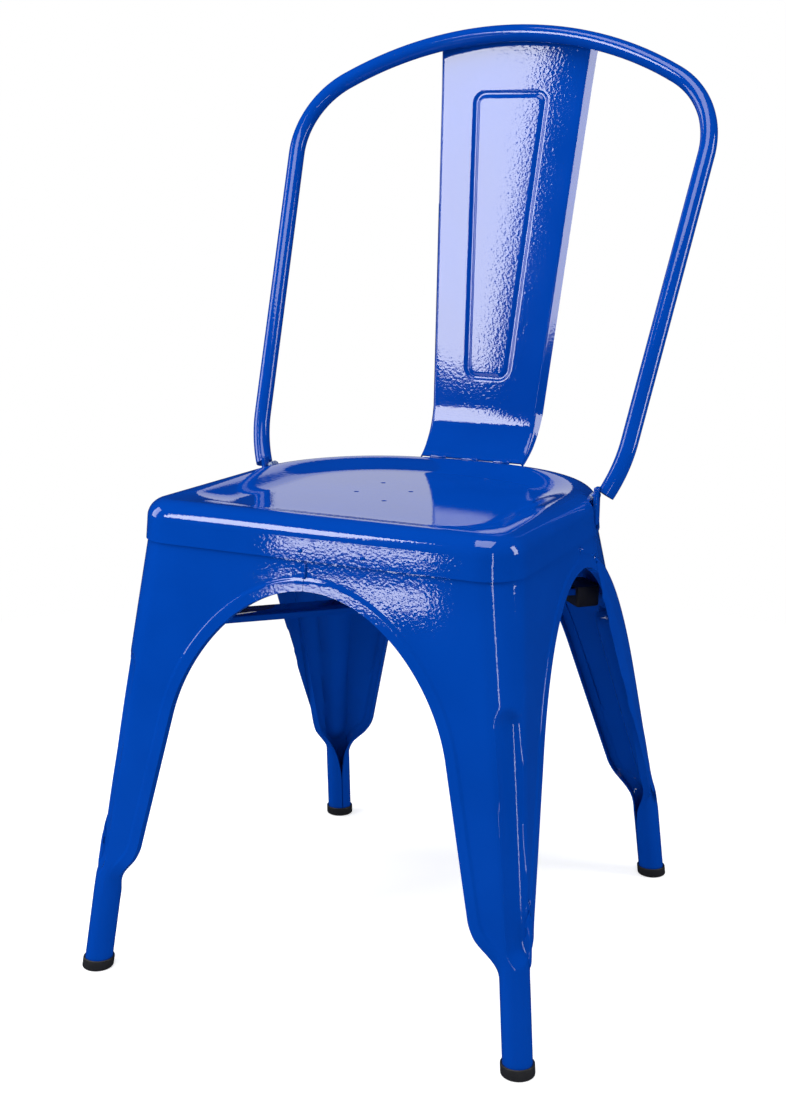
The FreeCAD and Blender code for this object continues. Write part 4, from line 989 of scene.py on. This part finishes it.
# %% Mould the feet
CAP_OUT, CAP_BORE, CAP_HIGH, CAP_FLOOR, CAP_SOFT = 0.0144, 0.01285, 0.010, 0.003, 0.0018
BRIM, CAP_STEPS, SOLE_STEPS, BRIM_STEPS = (CAP_OUT - CAP_BORE) / 2, 48, 6, 8


def cap_section():
    """The cup's half section as (radius, height), from the sole's middle to the floor inside."""
    sole = [(CAP_OUT - CAP_SOFT + CAP_SOFT * math.sin(a), CAP_SOFT * (1 - math.cos(a)))
            for a in between(0, math.pi / 2, SOLE_STEPS)]
    brim = [(CAP_OUT - BRIM + BRIM * math.cos(a), CAP_HIGH - BRIM + BRIM * math.sin(a))
            for a in between(0, math.pi, BRIM_STEPS)]
    inside = [(CAP_BORE, CAP_FLOOR), (CAP_BORE / 2, CAP_FLOOR), (0.0, CAP_FLOOR)]
    return [(0.0, 0.0), (CAP_OUT / 2, 0.0)] + sole + brim + inside


for row in ("front", "rear"):
    for hand in ("right", "left"):
        table = []
        for radius, z in cap_section():
            cx, cy, _ = corner_centre(row, z, TUBE_RADIUS)
            cy = abs(cy) * SIGN[row]
            table.append([on_circle(cx, cy, radius, a) + Vector((0, 0, z))
                          for a in between(0, 2 * math.pi, CAP_STEPS)])
        cap = press_sheet("moulded_foot_%s_%s" % (row, hand), table, hand)
        smooth(cap)
        hand_over(cap, "black_rubber", "foot_cap_%s_%s" % (row, hand))

# %% [markdown]
# ## Braces, stacking blocks and welds
# These small pieces already have their true shape in the frame, but their faces are loose
# triangles. Each is copied, its points are merged and its faces smoothed, so its fillets shine.


# %% Merge the small pieces
COPY_NEAR, COPY_SHARP = 0.000002, math.radians(30)


def merged_copy(node_name):
    select_only(nodes[node_name])
    bpy.ops.object.duplicate()
    piece = bpy.context.object
    piece.parent = None
    piece.matrix_world = Matrix.Identity(4)
    piece.name = piece.data.name = "dressed_" + node_name
    weld_and_face(piece, near=COPY_NEAR)
    smooth(piece, COPY_SHARP)
    return piece


SMALL = [name for name in nodes if name.startswith(("brace_", "bumper_")) or "weld" in name]
for node_name in sorted(SMALL):
    hand_over(merged_copy(node_name), slot_of[node_name], node_name)

# %% [markdown]
# ## The floor
# A glossy chair shows its room more than its own colour, so the room is part of the finish. The
# photo has a plain white ground. A white floor would do, but the paint would mirror it as a grey
# veil, so the camera sees this floor as white and a glossy surface sees it as dark.

# %% Lay the floor
FLOOR_SIZE, FLOOR_DROP, FLOOR_NEAR, FLOOR_FAR, FLOOR_GLOW = 12, 0.0002, 0.55, 1.25, 0.55
FLOOR_WHITE, FLOOR_MIRRORED = (0.80, 0.80, 0.80), (0.01, 0.02, 0.06)
WHITE = (1, 1, 1)


def lit_by_ray(tree, ray, seen, other):
    """Show one shader to one kind of ray and another to the rest."""
    path = tree.nodes.new("ShaderNodeLightPath")
    blend = tree.nodes.new("ShaderNodeMixShader")
    tree.links.new(path.outputs[ray], blend.inputs["Fac"])
    tree.links.new(other, blend.inputs[1])
    tree.links.new(seen, blend.inputs[2])
    return blend.outputs["Shader"]


def glow(tree, kind, colour, strength):
    node = tree.nodes.new(kind)
    node.inputs["Color"].default_value = (*colour, 1)
    node.inputs["Strength"].default_value = strength
    return node.outputs[0]


def white_floor():
    """A floor that fades to pure white with distance and keeps the chair's shadow near it."""
    material, tree, shader = new_material("white_floor")
    shader.inputs["Base Color"].default_value = (*FLOOR_WHITE, 1)
    shader.inputs["Roughness"].default_value = 0.6
    shader.inputs["Specular IOR Level"].default_value = 0.1
    add = tree.nodes.new("ShaderNodeAddShader")
    tree.links.new(shader.outputs["BSDF"], add.inputs[0])
    tree.links.new(glow(tree, "ShaderNodeEmission", WHITE, FLOOR_GLOW), add.inputs[1])
    where = tree.nodes.new("ShaderNodeTexCoord")
    length = tree.nodes.new("ShaderNodeVectorMath")
    length.operation = "LENGTH"
    tree.links.new(where.outputs["Object"], length.inputs[0])
    far = spread(tree, length.outputs["Value"], FLOOR_NEAR, FLOOR_FAR)
    fade = tree.nodes.new("ShaderNodeMixShader")
    tree.links.new(far, fade.inputs["Fac"])
    tree.links.new(add.outputs["Shader"], fade.inputs[1])
    tree.links.new(glow(tree, "ShaderNodeEmission", WHITE, 1.0), fade.inputs[2])
    dark = tree.nodes.new("ShaderNodeBsdfDiffuse")
    dark.inputs["Color"].default_value = (*FLOOR_MIRRORED, 1)
    rest = lit_by_ray(tree, "Is Glossy Ray", dark.outputs["BSDF"], shader.outputs["BSDF"])
    seen = lit_by_ray(tree, "Is Camera Ray", fade.outputs["Shader"], rest)
    tree.links.new(seen, tree.nodes["Material Output"].inputs["Surface"])
    return material


bpy.ops.mesh.primitive_plane_add(size=FLOOR_SIZE, location=(0, 0, -FLOOR_DROP))
floor = bpy.context.object
floor.name = "white_floor"
floor.data.materials.append(white_floor())
print("laid", floor.name)

# %% [markdown]
# ## Lamps and backdrop
# The paint shows a highlight only where it mirrors a lamp, so each highlight gets a lamp of its
# own: on the splat, on the apron, down the front corner and in the dish. Three larger ones light
# the whole. Each has its place, the point it faces, its two sizes in metres and its power in
# watts. The backdrop is the world, again white to the camera and dark to the paint.

# %% Set the lamps and the backdrop
LAMPS = {
    "top_box": ((0.1, -0.9, 2.6), (0, 0, 0.4), (1.6, 1.6), 38),
    "left_box": ((-2.2, -0.6, 1.2), (0, 0, 0.4), (0.9, 1.4), 18),
    "right_box": ((2.2, 0.5, 1.1), (0, 0, 0.4), (0.6, 1.4), 20),
    "splat_box": ((-0.985, -1.56, 1.28), (0, 0.2, 0.65), (0.48, 0.74), 14.5),
    "apron_box": ((-0.52, -1.30, 0.325), (0, -0.19, 0.41), (0.25, 0.030), 0.26),
    "corner_strip": ((1.08, -1.50, 0.50), (0.17, -0.19, 0.3), (0.10, 1.0), 2.2),
    "dish_card": ((-0.88, 1.78, 0.95), (0, 0, 0.43), (0.55, 0.62), 0.95),
}
FILL_COLOUR, FILL, MIRRORED_COLOUR, MIRRORED = (0.90, 0.93, 1.0), 0.45, (0.4, 0.5, 0.9), 0.02


def soft_lamp(name, place, target, size, power):
    bpy.ops.object.light_add(type="AREA", location=place)
    lamp = bpy.context.object
    lamp.name = name
    lamp.data.shape = "RECTANGLE"
    lamp.data.size, lamp.data.size_y = size
    lamp.data.energy = power
    lamp.rotation_euler = (Vector(target) - Vector(place)).to_track_quat("-Z", "Y").to_euler()
    return lamp


lamps = {name: soft_lamp(name, *settings) for name, settings in LAMPS.items()}
lamps["dish_card"].visible_camera = False
print("lamps:", ", ".join(lamps))

world = bpy.context.scene.world or bpy.data.worlds.new("pale_world")
bpy.context.scene.world = world
world.use_nodes = True
tree = world.node_tree
fill = glow(tree, "ShaderNodeBackground", FILL_COLOUR, FILL)
mirrored = glow(tree, "ShaderNodeBackground", MIRRORED_COLOUR, MIRRORED)
seen = glow(tree, "ShaderNodeBackground", WHITE, 1.0)
rest = lit_by_ray(tree, "Is Glossy Ray", mirrored, fill)
surface = lit_by_ray(tree, "Is Camera Ray", seen, rest)
tree.links.new(surface, tree.nodes["World Output"].inputs["Surface"])
bpy.context.scene.view_settings.view_transform = "Standard"
